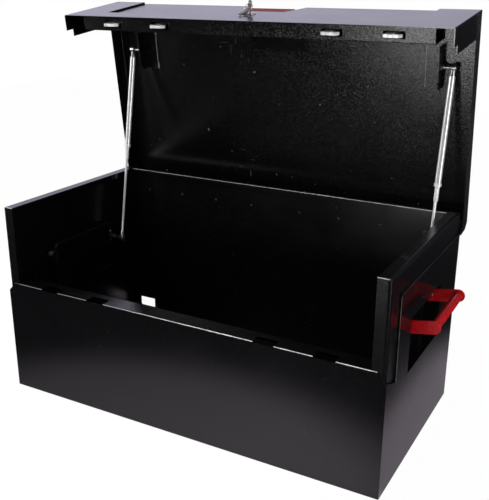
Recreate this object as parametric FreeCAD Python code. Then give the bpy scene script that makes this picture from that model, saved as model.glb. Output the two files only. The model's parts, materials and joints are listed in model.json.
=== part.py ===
"""Steel tool trunk: low front, wrap-around lid on gas struts, drop handles and a four-hook lock bar.

Millimetres. X runs to the right, Y to the back and Z up; the origin lies on the ground under
the middle of the trunk. Lid parts are drawn with the lid shut and then swung open.
"""
import FreeCAD, Part
import math
import os

V = FreeCAD.Vector
X_AXIS = V(1, 0, 0)
Y_AXIS = V(0, 1, 0)
Z_AXIS = V(0, 0, 1)

# Body shell
WIDTH = 1219.0
DEPTH = 612.0
SHEET = 2.0
FOLD = 3.0
RIM_HEIGHT = 596.0
FRONT_HEIGHT = 356.0
HALF_WIDTH = WIDTH / 2
HALF_DEPTH = DEPTH / 2
BACK_FACE = HALF_DEPTH
FLOOR_TOP = SHEET
FOOT_TOP = 2 * SHEET
FOOT_FLANGE = 24.0

# Side walls: a folded inner wall behind an outer skin that stands proud of it
SKIN_PROUD = 4.5
WALL_X = HALF_WIDTH - SKIN_PROUD
WALL_Y = HALF_DEPTH - SHEET
RIM_WIDTH = 36.0
RIM_X = WALL_X - RIM_WIDTH
RIM_RADIUS = 10.0
RIM_LIP = 18.0
SHOULDER = RIM_HEIGHT - 63.0
NOTCH_DEPTH = 75.0
NOTCH_FRONT = FRONT_HEIGHT - 27.0
NOTCH_BACK = FRONT_HEIGHT - 58.0
NOTCH_Y = -HALF_DEPTH + NOTCH_DEPTH

# Front ledge with the slots for the lid's hooks
LEDGE_DEPTH = 59.0
LEDGE_LIP = 20.0
LEDGE_X = RIM_X - 1.0
CORNER_X = HALF_WIDTH - 26.5
OUTER_SLOT = HALF_WIDTH - 163.5
INNER_SLOT = HALF_WIDTH - 334.5
SLOT_X = (-OUTER_SLOT, -INNER_SLOT, INNER_SLOT, OUTER_SLOT)
SLOT_LENGTH = 62.0
SLOT_BACK = -HALF_DEPTH + 33.0
SLOT_BITE = 3.5

# Rear rim and cable port
REAR_RIM = 16.0
REAR_LIP = 12.0
PORT_X = -HALF_WIDTH + 75.5
PORT_Z = 77.5
PORT_WIDTH = 64.0
PORT_HEIGHT = 35.0
PORT_BORDER = 9.0
PORT_EAR = 8.0
PORT_RIVET_X = (PORT_X - 52.0, PORT_X + 41.0)
PORT_RIVET_Z = PORT_Z - 15.0

# Handle pockets and drop handles
POCKET_HALF = 135.0
POCKET_BOTTOM = 278.0
POCKET_TOP = 434.0
POCKET_DEPTH = 46.0
POCKET_RADIUS = 8.0
FIT_GAP = 0.3
HANDLE_PIVOT_X = HALF_WIDTH - 24.5
HANDLE_PIVOT_Z = 401.0
HANDLE_REACH = 80.0
HANDLE_RAISED = 10.0
ARM_WIDTH = 36.0
ARM_SHEET = 5.0
ARM_Y = 120.0
GRIP_RADIUS = 12.0
GRIP_CROWN = 1.5
PIN_RADIUS = 5.0
RUNNING_GAP = 0.05

# Lid
LID_TOP = RIM_HEIGHT + 8.0
LID_HALF = HALF_WIDTH + 1.5
LID_FRONT = -HALF_DEPTH - 3.5
LID_BOTTOM = FRONT_HEIGHT - 23.0
SKIRT_BOTTOM = RIM_HEIGHT - 45.0
FLANGE_BACK = LID_FRONT + 69.5
FLANGE_STEP_Y = 22.0
FLANGE_STEP_Z = 30.0
RECESS_HALF = LID_HALF - 114.0
RECESS_BOTTOM = FRONT_HEIGHT + 44.0
RECESS_DEPTH = 5.0
BEVEL_Y = HALF_DEPTH + 2.0
BEVEL_Z = LID_TOP - 24.0
HINGE_Y = HALF_DEPTH + 9.0
HINGE_Z = RIM_HEIGHT - 58.0
LEAF_REACH = 9.0
LID_BACK = HINGE_Y + LEAF_REACH + SHEET
BACK_FLANGE_BOTTOM = HINGE_Z - 4.0
OPEN_ANGLE = 82.8

# Full-length hinge
HINGE_HALF = HALF_WIDTH - 34.5
KNUCKLES = 23
KNUCKLE_RADIUS = 8.5
KNUCKLE_GAP = 0.6
LEAF_SHEET = 3.0
LEAF_LOW = HINGE_Z - 30.0
LEAF_HIGH = HINGE_Z + 39.0
LEAF_RELIEF = 11.0
HINGE_PIN_RADIUS = 6.0
FIRST_BOLT = 88.0
BOLTS_PER_SIDE = 4
BOLT_PITCH = (HINGE_HALF - 70.0 - FIRST_BOLT) / (BOLTS_PER_SIDE - 1)
HINGE_BOLT_X = [side * (FIRST_BOLT + i * BOLT_PITCH) for side in (-1, 1) for i in range(BOLTS_PER_SIDE)]
BODY_BOLT_Z = HINGE_Z - 17.0
LID_BOLT_Z = HINGE_Z + 26.0
BOLT_RADIUS = 3.0

# Lock channel, sliding bar and hooks
CHANNEL_HALF = HALF_WIDTH - 52.5
CHANNEL_BOTTOM = FRONT_HEIGHT + 2.0
CHANNEL_TOP = CHANNEL_BOTTOM + 88.0
CHANNEL_BACK = LID_FRONT + 47.5
LID_SLOT_LENGTH = 60.0
LID_SLOT_SHIFT = 4.0
LID_SLOT_FRONT = LID_FRONT + 16.5
LID_SLOT_BACK = LID_SLOT_FRONT + 20.0
LOCK_GAP_HALF = 52.0
CHANNEL_LEG = 24.0
BAR_HALF = HALF_WIDTH - 109.5
BAR_FRONT = LID_SLOT_FRONT
BAR_SHEET = 6.0
BAR_BOTTOM = CHANNEL_BOTTOM + 34.0
BAR_TOP = BAR_BOTTOM + 32.0
BAR_TRAVEL = 24.0
HOOK_SHEET = 8.0
HOOK_SHANK = 22.0
HOOK_LENGTH = 50.0
HOOK_START = LID_SLOT_SHIFT - HOOK_LENGTH / 2
HOOK_TIP = FRONT_HEIGHT - 18.0
HOOK_TOE_TOP = FRONT_HEIGHT - 5.0
GUIDE_X = (120.0 - BAR_HALF, 130.0, BAR_HALF - 120.0)
GUIDE_LENGTH = 30.0
GUIDE_GAP = 0.5

# Key lock
LOCK_X = -26.0
LOCK_Z = FRONT_HEIGHT + 116.0
PLUG_RADIUS = 9.0
PLUG_FRONT = LID_FRONT + 0.5
PLUG_BACK = BAR_FRONT + BAR_SHEET + 2.0
HOUSING_BACK = LID_FRONT + 12.5
CAM_THROW = BAR_TRAVEL / 2 / math.sin(math.radians(45))
CAM_SHEET = 4.0
CAM_PIN_RADIUS = 4.0
FORK_TOP = LOCK_Z - 10.5
FORK_GAP = 0.9

# Finger pocket and lifting bar in the lid's front edge
GRIP_HALF = 95.0
GRIP_END_SLOPE = 0.43
GRIP_BACK_SLOPE = 0.29
GRIP_BOTTOM = LOCK_Z + 48.0
GRIP_BACK = LID_FRONT + 93.5
GRIP_FLANGE = 42.0
GRIP_BOLT_X = (-40.0, 70.0)
LIFT_BAR_RADIUS = 8.0
LIFT_PIN_RADIUS = 4.0
LIFT_PIN_REACH = 13.0
LIFT_BAR_Y = LID_FRONT + 11.5
LIFT_BAR_Z = (GRIP_BOTTOM + LID_TOP) / 2
LIFT_BAR_HALF = GRIP_HALF - GRIP_END_SLOPE * (LID_TOP - LIFT_BAR_Z + LIFT_BAR_RADIUS)

# Keys
KEY_SHEET = 2.2
KEY_BLADE = 8.0
KEY_SHAFT = 12.0
KEY_BOW = 12.0
KEY_HOLE = 3.2
KEY_HOLE_INSET = 4.0
KEY_RING_RADIUS = 13.0
KEY_WIRE = 1.1
KEYWAY_DEPTH = 16.0
KEY_GAP = 0.1
SPARE_TILT = 35.0
SPARE_STEP = 2.4
SPARE_SLACK = 0.8
SPARE_DROOP = (4.0, 9.0)
SPARE_HEIGHT = 11.0

# Gas struts: ball centres, open and shut
STRUT_X = HALF_WIDTH - 61.5
LOWER_Y = POCKET_HALF + 48.0
LOWER_Z = RIM_HEIGHT - 228.0
UPPER_Y = LID_FRONT + 153.5
UPPER_Z = LID_TOP - 24.0
BALL_RADIUS = 6.5
BALL_GAP = 0.08
SOCKET_RADIUS = 9.5
BOSS_RADIUS = 7.0
BOSS_LENGTH = 22.0
ROD_RADIUS = 4.0
TUBE_RADIUS = 9.0
TUBE_WALL = 1.6
TUBE_CAP = 10.0
GUIDE_TUBE_RADIUS = 6.5
GUIDE_TUBE_LENGTH = 52.0
COLLAR_RADIUS = 10.5
COLLAR_LENGTH = 10.0
PISTON_LENGTH = 12.0
PISTON_GAP = 2.0
STOP_GAP = 4.0
BRACKET_SHEET = 3.0
BODY_PLATE_X = WALL_X - SHEET - BRACKET_SHEET
BODY_PLATE_HALF = 22.0
BODY_PLATE_RISE = 26.0
BRACKET_BOLT_RISE = 16.0
LID_PLATE_X = STRUT_X - 36.0
LID_PLATE_HEIGHT = 40.0
LID_PLATE_CLIP = (24.0, 16.0)
LID_LEG = 48.0
LID_BRACKET_Y = (UPPER_Y - 58.0, UPPER_Y + 64.0)
OPEN_PIVOT_GAP = 0.3


def box(x0, x1, y0, y1, z0, z1):
    return Part.makeBox(x1 - x0, y1 - y0, z1 - z0, V(x0, y0, z0))


def bar(start, axis, length, radius):
    return Part.makeCylinder(radius, length, start, axis)


def prism(points, axis, start, end):
    """Extrude a closed outline, given in the plane square to axis, from start to end."""
    place = {"x": lambda a, b: V(start, a, b),
             "y": lambda a, b: V(a, start, b),
             "z": lambda a, b: V(a, b, start)}
    corners = [place[axis](a, b) for a, b in points]
    wire = Part.makePolygon(corners + corners[:1])
    way = {"x": X_AXIS, "y": Y_AXIS, "z": Z_AXIS}[axis]
    return Part.Face(wire).extrude(way * (end - start))


def runs_along(edge, axis):
    if len(edge.Vertexes) != 2:
        return False
    way = edge.Vertexes[1].Point - edge.Vertexes[0].Point
    return abs(way.dot(axis)) > way.Length - 1e-6


def rounded(shape, radius, axis, places):
    """Round the edges that run along axis past any of the places (None leaves a coordinate free)."""
    def wanted(edge):
        centre = edge.CenterOfMass
        for place in places:
            if all(p is None or abs(c - p) < 0.01 for c, p in zip(centre, place)):
                return True
        return False

    return shape.makeFillet(radius, [e for e in shape.Edges if runs_along(e, axis) and wanted(e)])


def rounded_box(x, y, z, radius, back_radius=0.0):
    """Box rounded along X at its four long corners, and round the edge of its low X face."""
    solid = box(x[0], x[1], y[0], y[1], z[0], z[1])
    solid = solid.makeFillet(radius, [e for e in solid.Edges if runs_along(e, X_AXIS)])
    if back_radius:
        rim = [e for e in solid.Edges if abs(e.CenterOfMass.x - x[0]) < 0.01 and e.BoundBox.XLength < 0.01]
        solid = solid.makeFillet(back_radius, rim)
    return solid


def joined(parts):
    return parts[0].multiFuse(parts[1:]).removeSplitter()


def turned(profile, origin, axis):
    """Revolve a (distance along axis, radius) outline about the axis through origin."""
    side = Z_AXIS if abs(axis.dot(Z_AXIS)) < 0.5 else X_AXIS
    points = [origin + axis * a + side * r for a, r in profile]
    return Part.Face(Part.makePolygon(points + points[:1])).revolve(origin, axis, 360)


def mirrored(shape):
    return shape.mirror(V(0, 0, 0), X_AXIS)


def opened(shape):
    """Swing a lid part from shut to open about the hinge pin."""
    swung = shape.copy()
    swung.rotate(V(0, HINGE_Y, HINGE_Z), X_AXIS, -OPEN_ANGLE)
    return swung


def opened_point(y, z):
    angle = math.radians(OPEN_ANGLE)
    dy, dz = y - HINGE_Y, z - HINGE_Z
    return (HINGE_Y + dy * math.cos(angle) + dz * math.sin(angle),
            HINGE_Z - dy * math.sin(angle) + dz * math.cos(angle))


# Body panels

def floor_panel():
    return box(-HALF_WIDTH, HALF_WIDTH, -HALF_DEPTH, HALF_DEPTH, 0, FLOOR_TOP)


def front_panel():
    fold_start = FRONT_HEIGHT - 40
    face = prism([(-HALF_WIDTH, FLOOR_TOP), (HALF_WIDTH, FLOOR_TOP), (HALF_WIDTH, NOTCH_FRONT),
                  (CORNER_X, FRONT_HEIGHT), (-CORNER_X, FRONT_HEIGHT), (-HALF_WIDTH, NOTCH_FRONT)],
                 "y", -HALF_DEPTH, -WALL_Y)
    face = face.cut(box(-LEDGE_X, LEDGE_X, -HALF_DEPTH - 1, -WALL_Y + 1, fold_start, FRONT_HEIGHT + 1))
    back = -HALF_DEPTH + LEDGE_DEPTH
    top = FRONT_HEIGHT
    ledge = prism([(-HALF_DEPTH, fold_start), (-HALF_DEPTH, top), (back, top), (back, top - LEDGE_LIP),
                   (back - SHEET, top - LEDGE_LIP), (back - SHEET, top - SHEET), (-WALL_Y, top - SHEET),
                   (-WALL_Y, fold_start)], "x", -LEDGE_X, LEDGE_X)
    ledge = rounded(ledge, FOLD, X_AXIS, [(None, -HALF_DEPTH, top), (None, back, top)])
    ledge = rounded(ledge, FOLD - SHEET, X_AXIS,
                    [(None, -WALL_Y, top - SHEET), (None, back - SHEET, top - SHEET)])
    foot = box(-WALL_X + SHEET, WALL_X - SHEET, -HALF_DEPTH, -HALF_DEPTH + FOOT_FLANGE,
               FLOOR_TOP, FOOT_TOP)
    panel = joined([face, ledge, foot])
    half = SLOT_LENGTH / 2
    slots = [box(x - half, x + half, -HALF_DEPTH - 1, SLOT_BACK, top - SLOT_BITE, top + 1) for x in SLOT_X]
    return panel.cut(Part.makeCompound(slots))


def rear_panel():
    fold_start = RIM_HEIGHT - 30
    face = prism([(-HALF_WIDTH, FLOOR_TOP), (HALF_WIDTH, FLOOR_TOP), (HALF_WIDTH, SHOULDER),
                  (WALL_X, SHOULDER), (WALL_X, RIM_HEIGHT), (-WALL_X, RIM_HEIGHT), (-WALL_X, SHOULDER),
                  (-HALF_WIDTH, SHOULDER)], "y", WALL_Y, BACK_FACE)
    face = face.cut(box(-LEDGE_X, LEDGE_X, WALL_Y - 1, BACK_FACE + 1, fold_start, RIM_HEIGHT + 1))
    top = RIM_HEIGHT
    lip = BACK_FACE - REAR_RIM
    rim = prism([(BACK_FACE, fold_start), (BACK_FACE, top), (lip, top), (lip, top - REAR_LIP),
                 (lip + SHEET, top - REAR_LIP), (lip + SHEET, top - SHEET), (WALL_Y, top - SHEET),
                 (WALL_Y, fold_start)], "x", -LEDGE_X, LEDGE_X)
    rim = rounded(rim, FOLD, X_AXIS, [(None, BACK_FACE, top), (None, lip, top)])
    rim = rounded(rim, FOLD - SHEET, X_AXIS, [(None, WALL_Y, top - SHEET), (None, lip + SHEET, top - SHEET)])
    foot = box(-WALL_X + SHEET, WALL_X - SHEET, BACK_FACE - FOOT_FLANGE, BACK_FACE, FLOOR_TOP, FOOT_TOP)
    panel = joined([face, rim, foot])
    holes = [bar(V(x, WALL_Y - 1, BODY_BOLT_Z), Y_AXIS, 2 * SHEET, BOLT_RADIUS) for x in HINGE_BOLT_X]
    holes += [bar(V(x, WALL_Y - 1, PORT_RIVET_Z), Y_AXIS, 2 * SHEET, BOLT_RADIUS) for x in PORT_RIVET_X]
    holes.append(port_opening(0.0, WALL_Y - 1, BACK_FACE + 1))
    return panel.cut(Part.makeCompound(holes))


def port_opening(margin, y0, y1):
    """Rounded rectangle through the back, margin wider than the cable port on every side."""
    half = PORT_WIDTH / 2 + margin
    rise = PORT_HEIGHT / 2 + margin
    solid = box(PORT_X - half, PORT_X + half, y0, y1, PORT_Z - rise, PORT_Z + rise)
    return solid.makeFillet(4.0 + margin / 2, [e for e in solid.Edges if runs_along(e, Y_AXIS)])


def cable_port_frame():
    frame = port_opening(PORT_BORDER, BACK_FACE, BACK_FACE + SHEET).cut(port_opening(0, WALL_Y, BACK_FACE + 9))
    low, high = PORT_RIVET_Z - PORT_EAR, PORT_RIVET_Z + PORT_EAR
    pieces = [frame]
    for x, side in zip(PORT_RIVET_X, (-1, 1)):
        near, far = sorted((PORT_X + side * (PORT_WIDTH / 2 + PORT_BORDER / 2), x))
        pieces.append(bar(V(x, BACK_FACE, PORT_RIVET_Z), Y_AXIS, SHEET, PORT_EAR))
        pieces.append(box(near, far, BACK_FACE, BACK_FACE + SHEET, low, high))
    plate = joined(pieces)
    holes = [bar(V(x, BACK_FACE - 1, PORT_RIVET_Z), Y_AXIS, 2 * SHEET, BOLT_RADIUS) for x in PORT_RIVET_X]
    return plate.cut(Part.makeCompound(holes))


def cable_port_rivets():
    return Part.makeCompound([through_bolt(x, PORT_RIVET_Z, WALL_Y, BACK_FACE + SHEET) for x in PORT_RIVET_X])


def through_bolt(x, z, inside, outside):
    """Domed head outside, shank through the sheets and a flat nut inside."""
    profile = [(-4.0, 0), (-4.0, 5.0), (0, 5.0), (0, BOLT_RADIUS), (outside - inside, BOLT_RADIUS),
               (outside - inside, 6.5), (outside - inside + 1.4, 5.6), (outside - inside + 2.4, 3.2),
               (outside - inside + 2.8, 0)]
    return turned(profile, V(x, inside, z), Y_AXIS)


def side_wall():
    """Right inner wall with its top rim and front column folded from one sheet."""
    outer = box(RIM_X, WALL_X, -WALL_Y, WALL_Y, FOOT_TOP, RIM_HEIGHT)
    outer = outer.makeFillet(RIM_RADIUS, wall_folds(outer, WALL_X, -WALL_Y, RIM_HEIGHT))
    inner = box(RIM_X + SHEET, WALL_X - SHEET, -WALL_Y + SHEET, WALL_Y + 20, FOOT_TOP - 20, RIM_HEIGHT - SHEET)
    inner = inner.makeFillet(RIM_RADIUS - SHEET,
                             wall_folds(inner, WALL_X - SHEET, -WALL_Y + SHEET, RIM_HEIGHT - SHEET))
    window = box(RIM_X - 1, RIM_X + SHEET + 1, -WALL_Y + RIM_LIP, WALL_Y + 1,
                 FOOT_TOP - 1, RIM_HEIGHT - RIM_LIP)
    wall = outer.cut(Part.makeCompound([inner]))
    wall = wall.cut(window)
    gap = SHEET + FIT_GAP
    hole = rounded_box((WALL_X - 9, WALL_X + 9), (-POCKET_HALF - gap, POCKET_HALF + gap),
                       (POCKET_BOTTOM - gap, POCKET_TOP + gap), POCKET_RADIUS + gap)
    return wall.cut(hole)


def wall_folds(solid, x, y, z):
    """The top outer edge and the front outer edge of the side wall's block."""
    folds = []
    for edge in solid.Edges:
        centre = edge.CenterOfMass
        on_top = runs_along(edge, Y_AXIS) and abs(centre.x - x) < 0.01 and abs(centre.z - z) < 0.01
        on_front = runs_along(edge, Z_AXIS) and abs(centre.x - x) < 0.01 and abs(centre.y - y) < 0.01
        if on_top or on_front:
            folds.append(edge)
    return folds


def side_skin():
    """Right outer skin: a shallow pan, notched at the front for the lid's side flange."""
    outline = [(-WALL_Y, FLOOR_TOP), (-WALL_Y, NOTCH_FRONT - 1), (NOTCH_Y, NOTCH_BACK),
               (NOTCH_Y, SHOULDER), (WALL_Y, SHOULDER), (WALL_Y, FLOOR_TOP)]
    outer = prism(outline, "x", WALL_X, HALF_WIDTH)
    outer = rounded(outer, 8.0, X_AXIS, [(None, NOTCH_Y, NOTCH_BACK), (None, NOTCH_Y, SHOULDER)])
    rim = [f for f in outer.Faces if abs(f.CenterOfMass.x - WALL_X) < 0.01][0]
    hollow = Part.Face(rim.OuterWire.makeOffset2D(-SHEET)).extrude(X_AXIS * (SKIN_PROUD - SHEET))
    mouth = rounded_box((WALL_X - 9, HALF_WIDTH + 9), (-POCKET_HALF, POCKET_HALF), (POCKET_BOTTOM, POCKET_TOP),
                        POCKET_RADIUS)
    foot = box(WALL_X - FOOT_FLANGE + SHEET, WALL_X, -WALL_Y + FOOT_FLANGE, WALL_Y - FOOT_FLANGE,
               FLOOR_TOP, FOOT_TOP)
    return joined([outer.cut(hollow).cut(mouth), foot])


def handle_pocket():
    inner_x = HALF_WIDTH - POCKET_DEPTH
    outer = rounded_box((inner_x - SHEET, HALF_WIDTH - SHEET), (-POCKET_HALF - SHEET, POCKET_HALF + SHEET),
                        (POCKET_BOTTOM - SHEET, POCKET_TOP + SHEET), POCKET_RADIUS + SHEET, FOLD + SHEET)
    inner = rounded_box((inner_x, HALF_WIDTH + 9), (-POCKET_HALF, POCKET_HALF), (POCKET_BOTTOM, POCKET_TOP),
                        POCKET_RADIUS, FOLD)
    bore = bar(V(HANDLE_PIVOT_X, -2 * POCKET_HALF, HANDLE_PIVOT_Z), Y_AXIS, 4 * POCKET_HALF, PIN_RADIUS)
    return outer.cut(inner).cut(bore)


def handle_pivots():
    """Two shouldered pivot pins with nuts behind the pocket's end walls."""
    wall = POCKET_HALF + SHEET
    arm_out = ARM_Y + ARM_SHEET / 2 + FIT_GAP
    arm_in = ARM_Y - ARM_SHEET / 2 - FIT_GAP
    profile = [(wall + 11, 0), (wall + 11, PIN_RADIUS), (wall + 8, PIN_RADIUS), (wall + 8, 8.5), (wall, 8.5),
               (wall, PIN_RADIUS), (POCKET_HALF, PIN_RADIUS), (POCKET_HALF, 8.0), (arm_out, 8.0),
               (arm_out, PIN_RADIUS), (arm_in, PIN_RADIUS), (arm_in, 9.0), (arm_in - 4, 7.0), (arm_in - 4, 0)]
    pivot = V(HANDLE_PIVOT_X, 0, HANDLE_PIVOT_Z)
    return Part.makeCompound([turned(profile, pivot, Y_AXIS), turned(profile, pivot, -Y_AXIS)])


# Drop handles

def raised(shape):
    """Place a handle part drawn along +X from its pivot at the origin."""
    placed = shape.copy()
    placed.rotate(V(0, 0, 0), Y_AXIS, -HANDLE_RAISED)
    placed.translate(V(HANDLE_PIVOT_X, 0, HANDLE_PIVOT_Z))
    return placed


def handle_arms():
    """Two flat arms with full-round ends, bored for the pivot pins."""
    r = ARM_WIDTH / 2
    y = -ARM_SHEET / 2
    far = HANDLE_REACH
    edges = [Part.LineSegment(V(0, y, r), V(far, y, r)),
             Part.Arc(V(far, y, r), V(far + r, y, 0), V(far, y, -r)),
             Part.LineSegment(V(far, y, -r), V(0, y, -r)),
             Part.Arc(V(0, y, -r), V(-r, y, 0), V(0, y, r))]
    plate = Part.Face(Part.Wire([e.toShape() for e in edges])).extrude(Y_AXIS * ARM_SHEET)
    plate = plate.makeFillet(1.0, [e for e in plate.Edges if e.BoundBox.YLength < 0.01])
    plate = plate.cut(bar(V(0, -ARM_SHEET, 0), Y_AXIS, 2 * ARM_SHEET, PIN_RADIUS + RUNNING_GAP))
    arms = []
    for y in (-ARM_Y, ARM_Y):
        arm = plate.copy()
        arm.translate(V(0, y, 0))
        arms.append(raised(arm))
    return Part.makeCompound(arms)


def handle_grip():
    """Round grip between the arms, crowned towards its middle."""
    half = ARM_Y - ARM_SHEET / 2
    crown = Part.Arc(V(HANDLE_REACH, -half, GRIP_RADIUS), V(HANDLE_REACH, 0, GRIP_RADIUS + GRIP_CROWN),
                     V(HANDLE_REACH, half, GRIP_RADIUS)).toShape()
    axis = Part.makePolygon([V(HANDLE_REACH, half, GRIP_RADIUS), V(HANDLE_REACH, half, 0),
                             V(HANDLE_REACH, -half, 0), V(HANDLE_REACH, -half, GRIP_RADIUS)])
    face = Part.Face(Part.Wire([crown] + axis.Edges))
    return raised(face.revolve(V(HANDLE_REACH, 0, 0), Y_AXIS, 360))


# Lid sheets, drawn shut

def lid_top_panel():
    """Top, side skirts, bevelled back and back flange folded from one sheet."""
    profile = [(LID_FRONT, LID_TOP), (BEVEL_Y, LID_TOP), (LID_BACK, BEVEL_Z), (LID_BACK, BACK_FLANGE_BOTTOM),
               (HINGE_Y, BACK_FLANGE_BOTTOM), (HINGE_Y - 12, SKIRT_BOTTOM), (LID_FRONT, SKIRT_BOTTOM)]
    outer = prism(profile, "x", -LID_HALF, LID_HALF)
    outer = rounded(outer, FOLD, Y_AXIS, [(-LID_HALF, None, LID_TOP), (LID_HALF, None, LID_TOP)])
    inside = LID_TOP - SHEET
    slope = math.atan2(LID_TOP - BEVEL_Z, LID_BACK - BEVEL_Y)
    run = SHEET * math.tan(slope / 2)
    drop = SHEET * math.tan((math.pi / 2 - slope) / 2)
    hollow = prism([(LID_FRONT - 9, inside), (BEVEL_Y - run, inside), (LID_BACK - SHEET, BEVEL_Z - drop),
                    (LID_BACK - SHEET, 0), (LID_FRONT - 9, 0)], "x", -LID_HALF + SHEET, LID_HALF - SHEET)
    hollow = rounded(hollow, FOLD - SHEET, Y_AXIS,
                     [(-LID_HALF + SHEET, None, inside), (LID_HALF - SHEET, None, inside)])
    sheet = outer.cut(hollow)
    corner = box(-LID_HALF - 1, LID_HALF + 1, LID_FRONT - 1, LID_FRONT + SHEET, 0, inside)
    recess = box(-RECESS_HALF, RECESS_HALF, LID_FRONT - 1, LID_FRONT + RECESS_DEPTH, inside - 1, LID_TOP + 1)
    grip = box(-GRIP_HALF, GRIP_HALF, LID_FRONT - 1, GRIP_BACK, inside - 1, LID_TOP + 1)
    holes = [bar(V(x, LID_BACK - 9, LID_BOLT_Z), Y_AXIS, 20, BOLT_RADIUS) for x in HINGE_BOLT_X]
    return sheet.cut(Part.makeCompound([corner])).cut(recess).cut(grip).cut(Part.makeCompound(holes))


def lid_front_panel():
    """Deep front with its wrapped side flanges and the sunk middle field."""
    top = LID_TOP - SHEET
    outer = box(-LID_HALF, LID_HALF, LID_FRONT, FLANGE_BACK, LID_BOTTOM, top)
    outer = rounded(outer, FOLD, Z_AXIS, [(-LID_HALF, LID_FRONT, None), (LID_HALF, LID_FRONT, None)])
    inside = LID_FRONT + SHEET
    hollow = box(-LID_HALF + SHEET, LID_HALF - SHEET, inside, FLANGE_BACK + 1, LID_BOTTOM - 1, top + 1)
    hollow = rounded(hollow, FOLD - SHEET, Z_AXIS,
                     [(-LID_HALF + SHEET, inside, None), (LID_HALF - SHEET, inside, None)])
    sheet = outer.cut(hollow)
    behind = box(-LID_HALF - 1, LID_HALF + 1, inside, FLANGE_BACK + 1, SKIRT_BOTTOM, top + 1)
    step = box(-LID_HALF - 1, LID_HALF + 1, FLANGE_BACK - FLANGE_STEP_Y, FLANGE_BACK + 1,
               LID_BOTTOM - 1, LID_BOTTOM + FLANGE_STEP_Z)
    window = box(-RECESS_HALF, RECESS_HALF, LID_FRONT - 1, inside + 1, RECESS_BOTTOM, top + 1)
    field = LID_FRONT + RECESS_DEPTH
    tray = box(-RECESS_HALF, RECESS_HALF, LID_FRONT, field + SHEET, RECESS_BOTTOM, top)
    sink = box(-RECESS_HALF + SHEET, RECESS_HALF - SHEET, LID_FRONT - 1, field, RECESS_BOTTOM + SHEET, top + 1)
    sheet = joined([sheet.cut(behind).cut(step).cut(window), tray.cut(sink)])
    grip = grip_well(0.0, LID_FRONT - 1, GRIP_BOTTOM, top + 1)
    lock_hole = bar(V(LOCK_X, LID_FRONT - 1, LOCK_Z), Y_AXIS, 20, PLUG_RADIUS + 3)
    return sheet.cut(grip).cut(lock_hole)


def grip_well(margin, front, low, high):
    """Solid that fills the finger pocket: its ends and its back lean inwards towards its floor."""
    def half(z):
        return GRIP_HALF + margin - GRIP_END_SLOPE * (LID_TOP - SHEET - z)

    def back(z):
        return GRIP_BACK + margin - GRIP_BACK_SLOPE * (LID_TOP - SHEET - z)

    ends = prism([(-half(low), low), (half(low), low), (half(high), high), (-half(high), high)],
                 "y", front, GRIP_BACK + GRIP_FLANGE)
    sides = prism([(front, low), (back(low), low), (back(high), high), (front, high)],
                  "x", -LID_HALF, LID_HALF)
    return ends.common(sides)


def grip_pocket():
    """Finger pocket behind the lifting bar, bolted to the lid by its back flange."""
    front = LID_FRONT + RECESS_DEPTH + SHEET
    top = LID_TOP - SHEET
    out = GRIP_HALF + SHEET
    shell = grip_well(SHEET, front, GRIP_BOTTOM - SHEET, top)
    shell = shell.cut(grip_well(0.0, front - 1, GRIP_BOTTOM, top + 1))
    flange = box(-out, out, GRIP_BACK + SHEET, GRIP_BACK + GRIP_FLANGE, top - SHEET, top)
    bore = bar(V(-GRIP_HALF, LIFT_BAR_Y, LIFT_BAR_Z), X_AXIS, 2 * GRIP_HALF, LIFT_PIN_RADIUS)
    return joined([shell, flange]).cut(bore)


def grip_pocket_bolts():
    """Low bolt heads on the pocket's flange, two at the sides and two along its back edge."""
    inset = 7.0
    places = [(side * (GRIP_HALF - inset), GRIP_BACK + GRIP_FLANGE / 2 - 1) for side in (-1, 1)]
    places += [(x, GRIP_BACK + GRIP_FLANGE - inset) for x in GRIP_BOLT_X]
    profile = [(0, 0), (0, 4.5), (2.0, 4.5), (3.2, 3.0), (3.2, 0)]
    face = LID_TOP - 2 * SHEET
    return Part.makeCompound([turned(profile, V(x, y, face), -Z_AXIS) for x, y in places])


def grip_bar():
    """Round lifting bar across the finger pocket; a pin at each end goes through the pocket's wall."""
    end = LIFT_BAR_HALF + LIFT_PIN_REACH
    half = [(end, 0), (end, LIFT_PIN_RADIUS), (LIFT_BAR_HALF, LIFT_PIN_RADIUS),
            (LIFT_BAR_HALF, LIFT_BAR_RADIUS - 1), (LIFT_BAR_HALF - 1, LIFT_BAR_RADIUS)]
    profile = [(-a, r) for a, r in half] + half[::-1]
    return turned(profile, V(0, LIFT_BAR_Y, LIFT_BAR_Z), X_AXIS)


# Hinge

def knuckle_spans(lid_side):
    """X spans of the knuckles that belong to one leaf."""
    pitch = 2 * HINGE_HALF / KNUCKLES
    first = 1 if lid_side else 0
    starts = [-HINGE_HALF + i * pitch for i in range(first, KNUCKLES, 2)]
    return [(s + KNUCKLE_GAP / 2, s + pitch - KNUCKLE_GAP / 2) for s in starts]


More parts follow.
